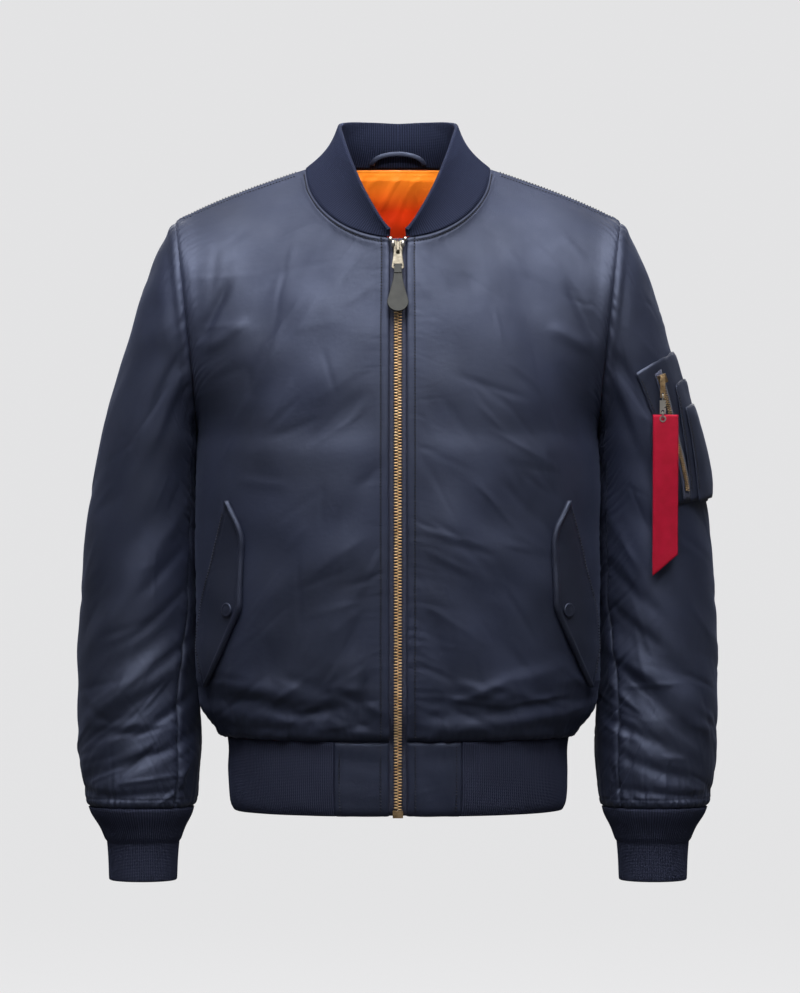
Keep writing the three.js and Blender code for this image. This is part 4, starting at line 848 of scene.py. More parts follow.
# %% Back
BACK_FOLDS = [
    (165, -200, -60, 170, 18, -5), (-160, -210, 58, 160, 18, -5), (60, -300, -70, 200, 26, 4),
    (-70, -340, 66, 200, 26, -4), (110, -450, -50, 150, 20, -4), (-20, -548, 4, 200, 12, -4),
    (-140, -545, -12, 110, 11, -4),
]
MORE_BACK_FOLDS = [
    (120, -150, -48, 120, 14, 2.4), (-120, -140, 46, 120, 14, -2.4), (20, -220, -80, 160, 20, -2.0),
    (-40, -420, 72, 150, 16, 2.0), (70, -500, -30, 120, 12, 2.2), (-90, -480, 34, 130, 13, -2.2),
    (140, -350, -66, 140, 16, -2.0), (-150, -380, 62, 140, 16, 2.0), (60, -566, 5, 150, 6, 2.2),
    (-90, -566, -4, 140, 6, 2.2), (184, -150, -63, 60, 7, -3.0), (-184, -150, 63, 60, 7, -3.0),
]
grid = back_plain
x, z = grid[..., 0], grid[..., 2]
across, up = lengths(grid, 1), lengths(grid, 0)
to_left, to_right = across, across[:, -1:] - across
to_side = np.minimum(to_left, to_right)
rows = np.linspace(0, TOP_ROW, grid.shape[0])
columns = np.linspace(0, 2 * COLUMNS, grid.shape[1])
edge_rows = np.minimum(rows / 1.5, (TOP_ROW - rows) / 3)[:, None]
edge_columns = np.minimum(columns / 1.5, (2 * COLUMNS - columns) / 2)[None, :]
fade = np.clip(np.minimum(edge_rows, edge_columns), 0, 1)
folds = fade * fold_depth(BACK_FOLDS, x, z)
folds += np.clip(fade * 3, 0, 1) * (fold_depth(MORE_BACK_FOLDS, x, z) + swell(51, x, z, 90, 0.9))
relief = folds.copy()
roll = 0.75 + 0.35 * np.sin(across / 12) * np.sin(across / 31)
relief += seam_dip(to_side) + seam_dip(up, 2.2, 2.6, 0) + 3.0 * roll * hill(up - 9, 7)
relief += seam_dip(up[-1:] - up, 1.2, 2.2, 0.6) + puckers(56, across, up, 30, 30, 8, 3.2)
relief += puckers(52, across, up, 9, 15, 3.2, 1.7)
relief += puckers(53, up, to_left, 9, 15, 3.0, 1.5) + puckers(54, up, to_right, 9, 15, 3.0, 1.5)
relief += puckers(55, across, up[-1:] - up, 6, 5, 2.0, 0.8)
straight = normals(grid)
back_outer = grid + straight * relief[..., None]
back_straight, back_under = straight, np.minimum(relief, folds) - THIN
share = np.clip((rows - LOWER_ROWS) / ARMHOLE_ROWS, 0, 1)
inward = straight
for distance, sign in ((to_left, 1), (to_right, -1)):
    near_arm = (rows >= LOWER_ROWS)[:, None] * hill(distance, 7)
    shared = armhole_normal(share, 1)[:, None] * [sign, 1, 1]
    inward = unit(inward + (shared - inward) * near_arm[..., None])
from_middle = abs(columns - COLUMNS)
near_neck = (from_middle <= NECK_COLUMNS)[None, :] * hill(up[-1:] - up, 7)
shared = neck_normal(180 - 90 * np.clip(from_middle / NECK_COLUMNS, 0, 1))
shared = shared * triple(np.sign(COLUMNS - columns), 1, 1)
back_inward = unit(inward + (shared[None] - inward) * near_neck[..., None])
back_grids = [back_outer.copy(), grid + back_inward * back_under[..., None]]
draw_back(back_grids, ["low", "high", "start", "end"])
back = wall("back_cloth", *back_grids, [nylon.made, lining.made], step=HIDDEN)
print("back faces", len(back.data.polygons))

# %% [markdown]
# ## The sleeves
# A sleeve is a bent tube. Its rings lean at the shoulder, where they follow the armhole, and become
# level at the wrist. It is sewn of two parts: a wide top and a narrow strip under the arm. Both are
# cut from one grid, so they meet exactly.

# %% Sleeves
RING = 2 * ARMHOLE_ROWS
SLEEVE_ROWS = 18
SEAM_COLUMN = 2
ring_angle = 2 * np.pi * np.arange(RING) / RING
ring_keys = ("inner_x", "inner_z", "outer_x", "outer_z", "half", "middle")
sleeve_rings = {**SLEEVE, "at": np.arange(1.0, len(SLEEVE["half"]) + 1)}
at = np.linspace(1, len(SLEEVE["half"]), SLEEVE_ROWS)[:, None]
ring = {key: curve(sleeve_rings, "at", key, at) for key in ring_keys}
turned = (1 - np.cos(ring_angle)) / 2
rings = triple(
    ring["inner_x"] + (ring["outer_x"] - ring["inner_x"]) * turned,
    ring["middle"] + ring["half"] * np.sin(ring_angle),
    ring["inner_z"] + (ring["outer_z"] - ring["inner_z"]) * turned,
)
number = np.arange(RING)
ring_share = np.where(number <= ARMHOLE_ROWS, number, RING - number) / ARMHOLE_ROWS
ring_facing = np.where(number <= ARMHOLE_ROWS, 1, -1)
sleeve_points = np.concatenate([armhole_point(ring_share, ring_facing)[None], rings])
print("sleeve rings", sleeve_points.shape)

SLEEVE_ROW_STEPS, RING_STEPS = 16, 9
sleeve_row = np.linspace(0, SLEEVE_ROWS, SLEEVE_ROWS * SLEEVE_ROW_STEPS + 1)
sleeve_column = np.arange(RING * RING_STEPS) / RING_STEPS
SEAM_SHIFT = table("row shift", """
    0 0
    10 0
    11.4 0.55
    12.9 1.08
    18 1.2""")
past_seam = abs((sleeve_column - (RING - SEAM_COLUMN) + RING / 2) % RING - RING / 2)
pull = np.clip(1 - past_seam / 4, 0, 1)
pull = pull**2 * (3 - 2 * pull)
shift = curve(SEAM_SHIFT, "row", "shift", sleeve_row)[:, None]
sleeve_place = sleeve_column - shift * pull
sleeve_plain = read(sleeve_points, sleeve_row[:, None] + 0 * sleeve_place, sleeve_place, True)
sleeve_normals = normals(sleeve_plain, True)
MM_PER_DEGREE = 1.15
SLEEVE_FOLDS = [
    (262, -560, 34, 110, 11, -5), (250, -600, 28, 95, 9, -4), (272, -500, 36, 120, 12, -5),
    (266, -530, 30, 100, 12, 4), (255, -400, 52, 150, 16, -5), (275, -300, 65, 150, 15, -4),
    (95, -540, -34, 120, 12, -5), (85, -470, -38, 120, 12, -4), (100, -360, -55, 150, 16, -5),
]
ELBOW_FOLDS = [
    (150, -395, 22, 80, 8, -3.4), (136, -425, -18, 90, 8, -3.0), (160, -450, 12, 100, 9, -3.2),
    (180, -340, 40, 110, 10, -2.6), (125, -360, -35, 90, 9, 2.4), (170, -585, 16, 110, 8, -2.8),
    (140, -620, -10, 90, 7, -2.6), (190, -250, 62, 120, 11, -2.2),
]
LEFT_SLEEVE_FOLDS = [
    (300, -520, 30, 80, 6, -2.6), (296, -470, 34, 80, 6, -2.4), (302, -575, 24, 80, 6, -2.6),
    (288, -610, 20, 110, 7, -2.6), (300, -430, 40, 90, 7, -2.2), (236, -625, 14, 90, 7, -2.4),
    (225, -575, 26, 90, 8, 2.2), (232, -450, 48, 130, 12, 2.2), (290, -235, 74, 110, 9, 2.8),
    (282, -205, 68, 100, 8, -2.6), (245, -330, 66, 150, 14, 2.2), (305, -385, 50, 80, 8, 2.0),
    (200, -520, 60, 160, 16, -1.8), (180, -400, 80, 180, 18, 1.6), (270, -640, 6, 120, 5, -2.2),
    (215, -642, -4, 90, 5, -2.0), (120, -600, -22, 90, 8, -2.4), (75, -430, -40, 90, 8, 2.0),
]
RIGHT_SLEEVE_FOLDS = [
    (302, -505, 34, 84, 6, -2.6), (298, -455, 38, 84, 6, -2.2), (300, -560, 28, 90, 6, -2.8),
    (290, -600, 22, 120, 7, -2.8), (300, -410, 42, 90, 7, -2.2), (240, -618, 16, 100, 7, -2.6),
    (228, -560, 28, 100, 8, 2.4), (236, -470, 44, 130, 12, 2.2), (290, -235, 74, 110, 9, 3.0),
    (282, -205, 68, 100, 8, -2.8), (248, -345, 64, 150, 14, 2.2), (305, -370, 52, 80, 8, 2.0),
    (205, -500, 58, 160, 16, -1.8), (185, -420, 78, 180, 18, 1.6), (268, -642, 5, 120, 5, -2.2),
    (210, -640, -6, 90, 5, -2.2), (118, -590, -24, 90, 8, -2.4), (78, -440, -42, 90, 8, 2.0),
]


def sleeve_outer(seed, extra):
    """A sleeve's outer grid, with folds by angle and height and a groove and puckers at each seam,
    and how far its inner face stands out."""
    degrees = 360 * sleeve_place / RING
    z = sleeve_plain[..., 2]
    around = degrees * MM_PER_DEGREE
    rows = sleeve_row[:, None]
    fade = np.clip(np.minimum(rows / 3, (SLEEVE_ROWS - rows) / 2), 0, 1)
    large, small = (
        fold_depth([(fold[0] * MM_PER_DEGREE, *fold[1:]) for fold in table_of_folds], around, z)
        for table_of_folds in (SLEEVE_FOLDS + ELBOW_FOLDS, extra)
    )
    folds = 0.5 * fade * large
    folds += np.clip(2 * fade, 0, 1) * (0.8 * small + swell(seed, around, z, 60, 0.6))
    whole = (60 * MM_PER_DEGREE, 320 * MM_PER_DEGREE, -640, -120)
    forearm = (190 * MM_PER_DEGREE, 325 * MM_PER_DEGREE, -655, -520)
    creases = scattered(seed + 7, 80, whole, 42, 50, 3.4, 0.6)
    creases += scattered(seed + 8, 34, forearm, 30, 56, 3.6, 1.0)
    relief = folds + np.clip(2 * fade, 0, 1) * fold_depth(creases, around, z)
    down = lengths(sleeve_plain, 0)
    for n, place in enumerate((SEAM_COLUMN, RING - SEAM_COLUMN)):
        beside = abs(degrees - degrees[:, place * RING_STEPS, None]) * MM_PER_DEGREE
        relief += seam_dip(beside, 1.7, 2.0, 0.8)
        relief += (rows > 1.5) * puckers(seed + 1 + n, down, beside, 5.5, 9, 1.7, 1.8, 0.3)
        relief += (rows > 1.5) * puckers(seed + 5 + n, down, beside, 15, 22, 3.2, 1.7, 0.4)
    relief += 3.5 * hill((degrees + 205) % 360 - 180, 30) * hill(z + 284, 16)
    relief += seam_dip(down, 1.5, 2.2, 1.6) + puckers(seed + 3, around, down, 7.5, 12, 2.4, 1.6)
    end = down[-1:] - down
    relief += seam_dip(end, 1.5, 2.2, 0.5) + puckers(seed + 4, around, end, 8, 18, 2.6, 2.3)
    relief += -0.5 * hill(end - 9, 1.4)
    return sleeve_plain + sleeve_normals * relief[..., None], np.minimum(relief, folds) - THIN


armhole_fine = np.interp(sleeve_column, np.append(number, RING), np.append(ring_share, 0))
armhole_facing = np.where(sleeve_column <= ARMHOLE_ROWS, 1, -1)
near_top = hill(lengths(sleeve_plain, 0), 8)[..., None]
shared = armhole_normal(armhole_fine, armhole_facing)[None]
sleeve_inward = unit(sleeve_normals + (shared - sleeve_normals) * near_top)
sleeve_pieces = []
sleeve_sheets = {}


def part_columns(first, last):
    """The fine columns from one control column to another, passing over the ring's first."""
    return np.arange(first * RING_STEPS, last * RING_STEPS + 1) % (RING * RING_STEPS)


SLEEVE_PARTS = {
    "top": part_columns(SEAM_COLUMN, RING - SEAM_COLUMN),
    "under": part_columns(RING - SEAM_COLUMN, RING + SEAM_COLUMN),
}
SLEEVES = ("left", 71, LEFT_SLEEVE_FOLDS, False), ("right", 91, RIGHT_SLEEVE_FOLDS, True)
for side, seed, extra, flip in SLEEVES:
    sheet, under = sleeve_outer(seed, extra)
    sleeve_inner = sleeve_plain + sleeve_inward * under[..., None]
    sleeve_sheets[side] = sheet
    for part, columns in SLEEVE_PARTS.items():
        grids = [sheet[:, columns], sleeve_inner[:, columns]]
        draw_back(grids, ["low", "high", "start", "end"])
        name = f"sleeve_{side}_{part}_cloth"
        piece = wall(name, *grids, [nylon.made, lining.made], flip=flip, step=HIDDEN)
        sleeve_pieces.append((piece, f"sleeve_{side}_{part}"))
print("sleeve pieces", [name for _, name in sleeve_pieces])

# %% [markdown]
# ## Rib knit
# Collar, cuffs and hem are one knit, folded double so that the free edge is a soft roll. The ribs
# run across the band. A ribbed texture would go flat at the outline, where ribs show best, so the
# ribs are modelled: a wave along the band, which fades only at the sewn edge.

# %% Rib knit
def evenly(paths, count):
    """Each row's points spread evenly along its own length."""
    made = []
    for path in paths:
        far = lengths(path[None], 1)[0]
        want = np.linspace(0, far[-1], count + 1)
        made.append(path_at(want, far, path))
    return np.array(made)


def rounded_heights(length, thick, rows, roll_at_high=True):
    """Heights up a band from 0 to 1, close together near the rolled edge, and how thick the band is
    at each: a half circle there, full elsewhere."""
    radius = thick / 2
    flat = np.linspace(0, 1 - radius / length, rows)
    turn = np.linspace(0, np.pi / 2, 6)[1:]
    heights = np.concatenate([flat, 1 - radius / length * (1 - np.sin(turn))])
    full = np.concatenate([np.ones(rows), np.maximum(np.cos(turn), 0.06)])
    return (heights, full) if roll_at_high else (1 - heights[::-1], full[::-1])


RIB_POINTS = 3  # grid columns to a rib


def rib_wave(count, points):
    """Relief along the band: rounded ribs with narrow grooves (the size of a half wave's sine)."""
    phase = np.pi * count * np.linspace(0, 1, points)
    return np.abs(np.sin(phase)) ** 0.7 - 0.6


def ribbed_wall(name, look, grid, full, ribs, deep, closed=False, flip=False, inside=True):
    """A knitted band round a middle surface. Where its inside shows, that face carries the ribs too."""
    straight = normals(grid, closed)
    columns = grid.shape[1]
    wave = rib_wave(ribs, columns + (1 if closed else 0))[:columns][None, :]
    deep = np.asarray(deep, float).reshape(-1, 1)
    half = RIB / 2 * full[:, None]
    outer = grid + straight * (half + wave * deep * full[:, None])[..., None]
    inner = grid - straight * (half + inside * wave * deep * full[:, None])[..., None]
    step = (1, 1 if inside else RIB_POINTS)
    return wall(name, outer, inner, [look.made], closed, flip, step, RIB_PITCH / RIB_POINTS)


collar_angle = np.linspace(ZIP_ANGLE, 360 - ZIP_ANGLE, 241)
own = np.minimum(collar_angle, 360 - collar_angle)
side = np.where(collar_angle <= 180, 1, -1)
neck_low = neck_point(own)
neck_high = triple(*(curve(COLLAR_TOP, "angle", key, own) for key in "xyz"))
inward = unit(triple(-np.sin(np.radians(own)), np.cos(np.radians(own)), -0.3))
COLLAR_LENGTH, COLLAR_BOW, COLLAR_SEAM_GAP = 60, 5, 0.3
heights, full = rounded_heights(COLLAR_LENGTH, RIB, 16)
bow = COLLAR_BOW * np.sin(np.pi * heights)[:, None] * np.minimum(1, own / 45)
neck_low = neck_low + COLLAR_SEAM_GAP * unit(neck_high - neck_low)
collar_face = neck_low + (neck_high - neck_low) * heights[:, None, None] + inward * bow[..., None]
collar_face = collar_face * triple(side, 1, 1)
COLLAR_RIBS = 216
collar_face = evenly(collar_face, COLLAR_RIBS * RIB_POINTS)
collar_middle = collar_face - normals(collar_face) * RIB / 2
fade_in = np.clip(heights / 0.06, 0.15, 1)
collar = ribbed_wall("collar_knit", collar_knit, collar_middle, full, COLLAR_RIBS, 0.85 * fade_in)
collar_width = float(lengths(collar_face, 1)[8, -1])
print("collar ribs", COLLAR_RIBS, "every", round(collar_width / COLLAR_RIBS, 2), "mm")

BLOCK_SHARE = 0.215
hem_heights, hem_full = rounded_heights(HEM_SEAM_Z - HEM_Z, RIB, 18, False)
hem_z = HEM_Z + (HEM_SEAM_Z - HEM_Z) * hem_heights


def hem_rows(front_shares, back_shares):
    """The hem band's rows, round from one block to the other."""
    rows = []
    for z in hem_z:
        centre, side_point = level(z, -1)
        front = row_point(centre, side_point, 90.0, front_shares, -1)
        centre, side_point = level(z, 1)
        rear = row_point(centre, side_point, 90.0, back_shares, 1)
        half = np.concatenate([front, rear])
        rows.append(np.concatenate([half, half[-2::-1] * [-1, 1, 1]]))
    return rows


HEM_RIBS = 372
hem_face = evenly(hem_rows(np.linspace(BLOCK_SHARE, 1, 61), np.linspace(1, 0, 61)[1:]), HEM_RIBS * RIB_POINTS)
hem_along, hem_up = lengths(hem_face, 1), lengths(hem_face, 0)
hem_relief = 0.8 * puckers(101, hem_along, hem_up[-1:] - hem_up, 12, 12, 4, 1.3)
hem_relief += swell(102, hem_along, hem_face[..., 2], 60, 0.5) * hill(hem_up - 40, 40)
hem_middle = hem_face - normals(hem_face) * (RIB / 2 - hem_relief[..., None])
hem_deep = 0.55 * np.clip((1 - hem_heights) / 0.05, 0.2, 1)
hem_rib = ribbed_wall("hem_knit", knit, hem_middle, hem_full, HEM_RIBS, hem_deep, inside=False)
print("hem ribs every", round(float(hem_along[5, -1] / HEM_RIBS), 2), "mm")

CUFF_TOP_Z, CUFF_FOOT_Z, CUFF_LENGTH = -656.4, -732, 78  # the length is along the knit
cuff_heights, cuff_full = rounded_heights(CUFF_LENGTH, RIB, 26)
cuff_z = CUFF_TOP_Z + (CUFF_FOOT_Z - CUFF_TOP_Z) * cuff_heights
turn = np.linspace(0, 2 * np.pi, 145)
cuff_rows = [
    triple(
        curve(CUFF, "z", "x", z) - curve(CUFF, "z", "half", z) * np.cos(turn),
        curve(CUFF, "z", "middle", z) + curve(CUFF, "z", "depth", z) * np.sin(turn),
        z,
    )
    for z in cuff_z
]
CUFF_RIBS = 120
cuff_face = evenly(cuff_rows, CUFF_RIBS * RIB_POINTS)[:, :-1]
cuff_deep = np.where(cuff_z > -690, 0.62, 0.34) * np.clip(cuff_heights / 0.04, 0.2, 1)
cuff_step = np.where(cuff_z > -689, 0.6, -0.25)[:, None, None]
cuff_middle = cuff_face - normals(cuff_face, True) * (RIB / 2 - cuff_step)
cuff_pieces = []
for side_name, flip in (("left", False), ("right", True)):
    name = f"cuff_{side_name}_knit"
    piece = ribbed_wall(name, knit, cuff_middle, cuff_full, CUFF_RIBS, cuff_deep, True, flip, False)
    cuff_pieces.append((piece, f"cuff_{side_name}"))
print("cuff ribs", CUFF_RIBS)

# %% [markdown]
# ## The hem blocks and the lining
# Beside the zip the rib would stretch and wave, so the hem starts with a block of the shell's
# nylon on each side. Through the neck opening the orange lining shows against the back.

# %% Hem blocks and lining
block_share = np.linspace(0, BLOCK_SHARE, 23)
block_z = np.linspace(HEM_Z, HEM_SEAM_Z, 31)[:, None]
block_centre, block_side = level(block_z, -1)
block_plain = row_point(block_centre, block_side, 90.0, block_share, -1)
block_pieces = []
for side_name, seed, flip in (("left", 111, False), ("right", 121, True)):
    across, up = lengths(block_plain, 1), lengths(block_plain, 0)
    to_end = across[:, -1:] - across
    relief = seam_dip(to_end, 0.9, 1.6, 0.4) + seam_dip(up[-1:] - up, 1.2, 1.8, 0.5)
    relief += -1.1 * hill(across, 1.3) - 1.2 * hill(up, 1.6) - 0.4 * hill(across - 7, 1.1)
    relief += -0.4 * hill(to_end - 6, 1.1) + swell(seed, across, up, 34, 0.35)
    beside_zip = puckers(seed + 1, up, abs(across - 7), 8, 9, 2.4, 0.6)
    relief += beside_zip + puckers(seed + 2, across, up[-1:] - up, 8, 10, 2.6, 0.9)
    straight = normals(block_plain)
    grids = [block_plain + straight * relief[..., None], block_plain - straight * SHELL]
    draw_back(grids, ["high", "end"])
    piece = wall(f"hem_block_{side_name}_cloth", *grids, [nylon.made], flip=flip)
    block_pieces.append((piece, f"hem_block_{side_name}"))

print("hem blocks", [name for _, name in block_pieces])

# %% [markdown]
# The lining's upper part is gathered into the neck seam. It hangs just inside the back, so it is made
# from the back's own points, moved inwards, with its gathers pushed further inwards only.

# %% Back lining
LINING_ROWS, LINING_TRIM = 7, 5
rows_kept, columns_cut = (TOP_ROW - LINING_ROWS) * BACK_STEPS[0], LINING_TRIM * BACK_STEPS[1]
patch = np.s_[rows_kept:, columns_cut:-columns_cut]
lining_plain, lining_inward = back_plain[patch], back_inward[patch]
across, up = lengths(lining_plain, 1), lengths(lining_plain, 0)
to_neck = up[-1:] - up
gathers = puckers(131, across, to_neck, 6, 7, 1.3, 2.0)
gathers = gathers + puckers(132, across, abs(to_neck - 8), 15, 34, 3.2, 5.0, 0.3)
gathers = np.clip(0.5 - gathers, 0, 6) * np.clip(to_neck / 3, 0, 1) - 1.0 * hill(to_neck - 8.5, 1.8)
gathers = (gathers + 1.6 * (1 + swell(133, across, up, 34, 0.7))) * np.clip(to_neck / 10, 0.15, 1)
lining_outer = lining_plain + lining_inward * (back_under[patch] - 0.7 - gathers)[..., None]
back_lining = wall("back_lining_cloth", lining_outer, lining_outer - lining_inward, [lining.made])
print("lining faces", len(back_lining.data.polygons))

# %% [markdown]
# ## Strips, lathes and stitches
# Three more ways to make a piece from arrays: a profile carried along a path, a profile turned round
# an axis, and one small shape repeated at many places. Stitches are real short pieces of thread,
# because at the outline and in close views a painted dashed line has no shadow.

# %% More mesh helpers
def cap_quads(count):
    """Faces that close a ring with an even number of points, in strips from one side to the other."""
    k = np.arange(count // 2 - 1)
    return np.stack([k, k + 1, count - 2 - k, count - 1 - k], axis=-1)


def tube_quads(rings, count):
    """Faces of a closed tube with both ends capped, for rings that turn leftwards along the path."""
    body = grid_quads(rings, count, True)
    last = (rings - 1) * count
    return np.concatenate([body, cap_quads(count)[:, ::-1], cap_quads(count) + last])


def swept(name, path, side, out, profile, looks):
    """A profile carried along a path. Each ring is the path's point plus the profile's first number
    along `side` and its second along `out`."""
    rings = path[:, None] + profile[None, :, :1] * side[:, None] + profile[None, :, 1:] * out[:, None]
    quads = tube_quads(len(path), len(profile))
    travel = np.gradient(path, axis=0)
    if np.sum(np.cross(side, out) * travel) < 0:
        quads = quads[:, ::-1]
    points = rings.reshape(-1, 3)
    along = lengths(path[None], 1)[0]
    uv = np.stack(np.broadcast_arrays(profile[None, :, 0], along[:, None]), axis=-1).reshape(-1, 2)
    return new_mesh(name, points, quads, looks, uv=uv)


def rounded_bar(wide, thick, steps=3):
    """The outline of a flat bar with half round edges, turning leftwards."""
    radius = thick / 2
    turn = np.linspace(-np.pi / 2, np.pi / 2, steps + 1)
    right = np.stack([wide / 2 - radius + radius * np.cos(turn), radius * np.sin(turn)], axis=-1)
    return np.concatenate([right, -right])


def spun(profile, count):
    """A profile of (radius, height) turned round the height axis, with small flat ends."""
    turn = 2 * np.pi * np.arange(count) / count
    radius, height = profile[:, 0], profile[:, 1]
    points = triple(radius[:, None] * np.cos(turn), radius[:, None] * np.sin(turn), height[:, None])
    return points.reshape(-1, 3), tube_quads(len(profile), count)


def repeated(name, points, quads, places, first, second, third, looks):
    """One mesh with a copy of a small shape at each place, turned to each place's three directions."""
    made = places[:, None] + points[None, :, :1] * first[:, None]
    made = made + points[None, :, 1:2] * second[:, None] + points[None, :, 2:] * third[:, None]
    number = np.arange(len(places))[:, None, None] * len(points)
    every = (quads[None] + number).reshape(-1, 4)
    return new_mesh(name, made.reshape(-1, 3), every, looks, uv=made.reshape(-1, 3)[:, ::2])


STITCH_PITCH, STITCH_RAISED = 3.2, 0.25
STITCH = np.array([[0.1, -0.7], [0.8, -0.45], [0.8, 0.45], [0.1, 0.7]])
stitch_points, stitch_faces = spun(STITCH, 6)
stitch_lines = []


def stitch_line(path, normal, flip=False):
    """Notes a row of stitches: places evenly along a path, with the path's and surface's directions."""
    far = lengths(path[None], 1)[0]
    want = np.arange(STITCH_PITCH / 2, far[-1], STITCH_PITCH)
    out = unit(path_at(want, far, normal))
    way = unit(path_at(want, far, np.gradient(path, axis=0)))
    way = unit(way - out * np.sum(way * out, axis=1, keepdims=True))
    at = path_at(want, far, path) + out * STITCH_RAISED
    if flip:
        at, out, way = at * [-1, 1, 1], out * [-1, 1, 1], way * [-1, 1, 1]
    stitch_lines.append((at, way, out))


def joined(rows):
    """The parts of several rows of places and directions, each part joined to one array."""
    return [np.concatenate(part) for part in zip(*rows)]


def iso_path(distance, grid, at, axis=1):
    """The line on a grid where a distance, counted along an axis from its start, reaches a value."""
    if axis == 0:
        distance, grid = distance.T, grid.transpose(1, 0, 2)
    return np.array([path_at(at, d, row) for d, row in zip(distance, grid)])


print("a stitch has", len(stitch_faces), "faces")

# %% [markdown]
# ## The zip
# Each tooth is a small brass block with bevelled edges, clamped on the tape's edge. The two sides
# are the same row, moved on by half a pitch, so that they interlock. An array modifier would do, but
# the zip leans back with the chest, and places read from the front's own edge follow it exactly.

# %% Zip tapes and teeth
def bevelled_block(half_x, half_y, half_z, bevel):
    """A block with all its edges cut: an eight-sided ring, smaller at the two ends."""
    x, y = half_x, half_y
    ring = np.array([[x, y - bevel], [x - bevel, y], [bevel - x, y], [-x, y - bevel]])
    ring = np.concatenate([ring, -ring])
    heights = [-half_z, bevel - half_z, half_z - bevel, half_z]
    sizes = [1 - bevel / min(x, y) * 0.8, 1, 1, 1 - bevel / min(x, y) * 0.8]
    rings = [triple(ring[:, 0] * size, ring[:, 1] * size, height) for size, height in zip(sizes, heights)]
    return np.concatenate(rings), tube_quads(4, 8)


ACROSS, UP = np.array([1.0, 0, 0]), np.array([0, 0, 1.0])
zip_edge = np.concatenate([block_plain[:-1, 0], front_plain[:, 0]])
zip_normal = np.concatenate([normals(block_plain)[:-1, 0], normals(front_plain)[:, 0]])
zip_inside = np.concatenate([block_plain[:-1, 4], front_plain[:, 5]])
tape_under = zip_edge - zip_normal * (SHELL + 0.5)
tape_near = tape_under * [0, 1, 1] + [0.4, 0, 0]
tape_far = zip_inside - zip_normal * (SHELL + 0.5)
tape_grid = np.stack([tape_near, (tape_near + tape_under) / 2, tape_under, tape_far], axis=1)
tape_pieces = []
for side_name, flip in (("left", False), ("right", True)):
    name = f"zip_tape_{side_name}_woven"
    piece = wall(name, tape_grid, tape_grid - zip_normal[:, None], [tape.made], flip=flip)
    tape_pieces.append((piece, f"zip_tape_{side_name}"))

TOOTH_PITCH = 3.05
zip_path = zip_edge * [0, 1, 1]
zip_far = lengths(zip_path[None], 1)[0]


def zip_places(first_z, last_z, shift, x, behind):
    """Places and directions along the zip between two heights, a tooth's pitch apart."""
    low, high = (np.interp(z, zip_path[:, 2], zip_far) for z in (first_z, last_z))
    want = np.arange(low + shift, high, TOOTH_PITCH)
    at = path_at(want, zip_far, zip_path)
    way = unit(path_at(want, zip_far, np.gradient(zip_path, axis=0)))
    out = np.cross(np.broadcast_to(ACROSS, way.shape), way)
    return at - out * behind + [x, 0, 0], np.broadcast_to(ACROSS, way.shape), -out, way


tooth_points, tooth_faces = bevelled_block(2.35, 1.2, 0.72, 0.35)
sides = [zip_places(-651.6, -98.5, shift, x, 1.5) for shift, x in ((0.0, 1.75), (TOOTH_PITCH / 2, -1.75))]
teeth = repeated("zip_teeth", tooth_points, tooth_faces, *joined(sides), [brass.made])
print("teeth", sum(len(part[0]) for part in sides))

# %% [markdown]
# The round heads of the two stops, and the slider's flared shoulders below them, stand proud of the
# tapes. A sphere could be squashed for each. Here one turned profile is repeated, with a length of
# its own in each direction.

# %% Heads and shoulders of the zip
KNOB = np.array([[0.3, -2.3], [1.1, -2.0], [1.9, -1.2], [2.3, 0], [1.9, 1.2], [1.1, 2.0], [0.3, 2.3]])
knob_points, knob_faces = spun(KNOB, 16)
knob_at = np.array([[7.5, -110.0, -79.2], [-7.5, -110.0, -79.2], [5.0, -111.4, -84.2], [-5.0, -111.4, -84.2]])
knob_size = np.array([[1.05, 0.9, 1.05], [1.05, 0.9, 1.05], [0.95, 0.6, 1.5], [0.95, 0.6, 1.5]])
knob_ways = [np.eye(3)[k] * knob_size[:, k:k + 1] for k in range(3)]
zip_knobs = repeated("zip_stop_heads", knob_points, knob_faces, knob_at, *knob_ways, [steel.made])
print("knobs", len(knob_at))

# %% [markdown]
# ## Pocket flaps and snaps
# The slanted flap is sewn down along its outer side and free towards the zip, where the padding
# makes a thick rolled edge. It lies on the front, so its points are the front's own, lifted.

# %% Flaps and snaps
FLAP = table("z inner outer", """
    -531 191.5 195.5
    -488 171.5 203.5
    -451 155.5 199
    -376 152.5 181
    -342 168.5 172""")


def on_front(sheet, x, z):
    """Points of a front's outer face at places given in front view, below the armpit."""
    row = (z - HEM_SEAM_Z) / (ARMPIT_Z - HEM_SEAM_Z) * LOWER_ROWS * FRONT_STEPS[0]
    low = np.floor(row).astype(int)
    columns = np.arange(sheet.shape[1])
    found = []
    for i, part, place in zip(low.ravel(), (row - low).ravel(), x.ravel()):
        line = sheet[i] * (1 - part) + sheet[i + 1] * part
        at = np.interp(place, line[:, 0], columns)
        found.append(path_at(at, columns, line))
    return np.array(found).reshape(*x.shape, 3)


def finer(points, steps):
    """A grid read at many smooth steps between its points, both ways."""
    for _ in range(2):
        count = (len(points) - 1) * steps + 1
        points = along_first(points, np.linspace(0, len(points) - 1, count)).transpose(1, 0, 2)
    return points


def edges_of(grid):
    """Each point's distances from the four edges: start, end, low and high."""
    across, up = lengths(grid, 1), lengths(grid, 0)
    return across, across[:, -1:] - across, up, up[-1:] - up


def round_edge(distance, radius):
    """How far a padded edge falls away: a quarter circle within the radius."""
    inside = np.clip(1 - distance / radius, 0, 1)
    return radius * (1 - np.sqrt(1 - inside**2))


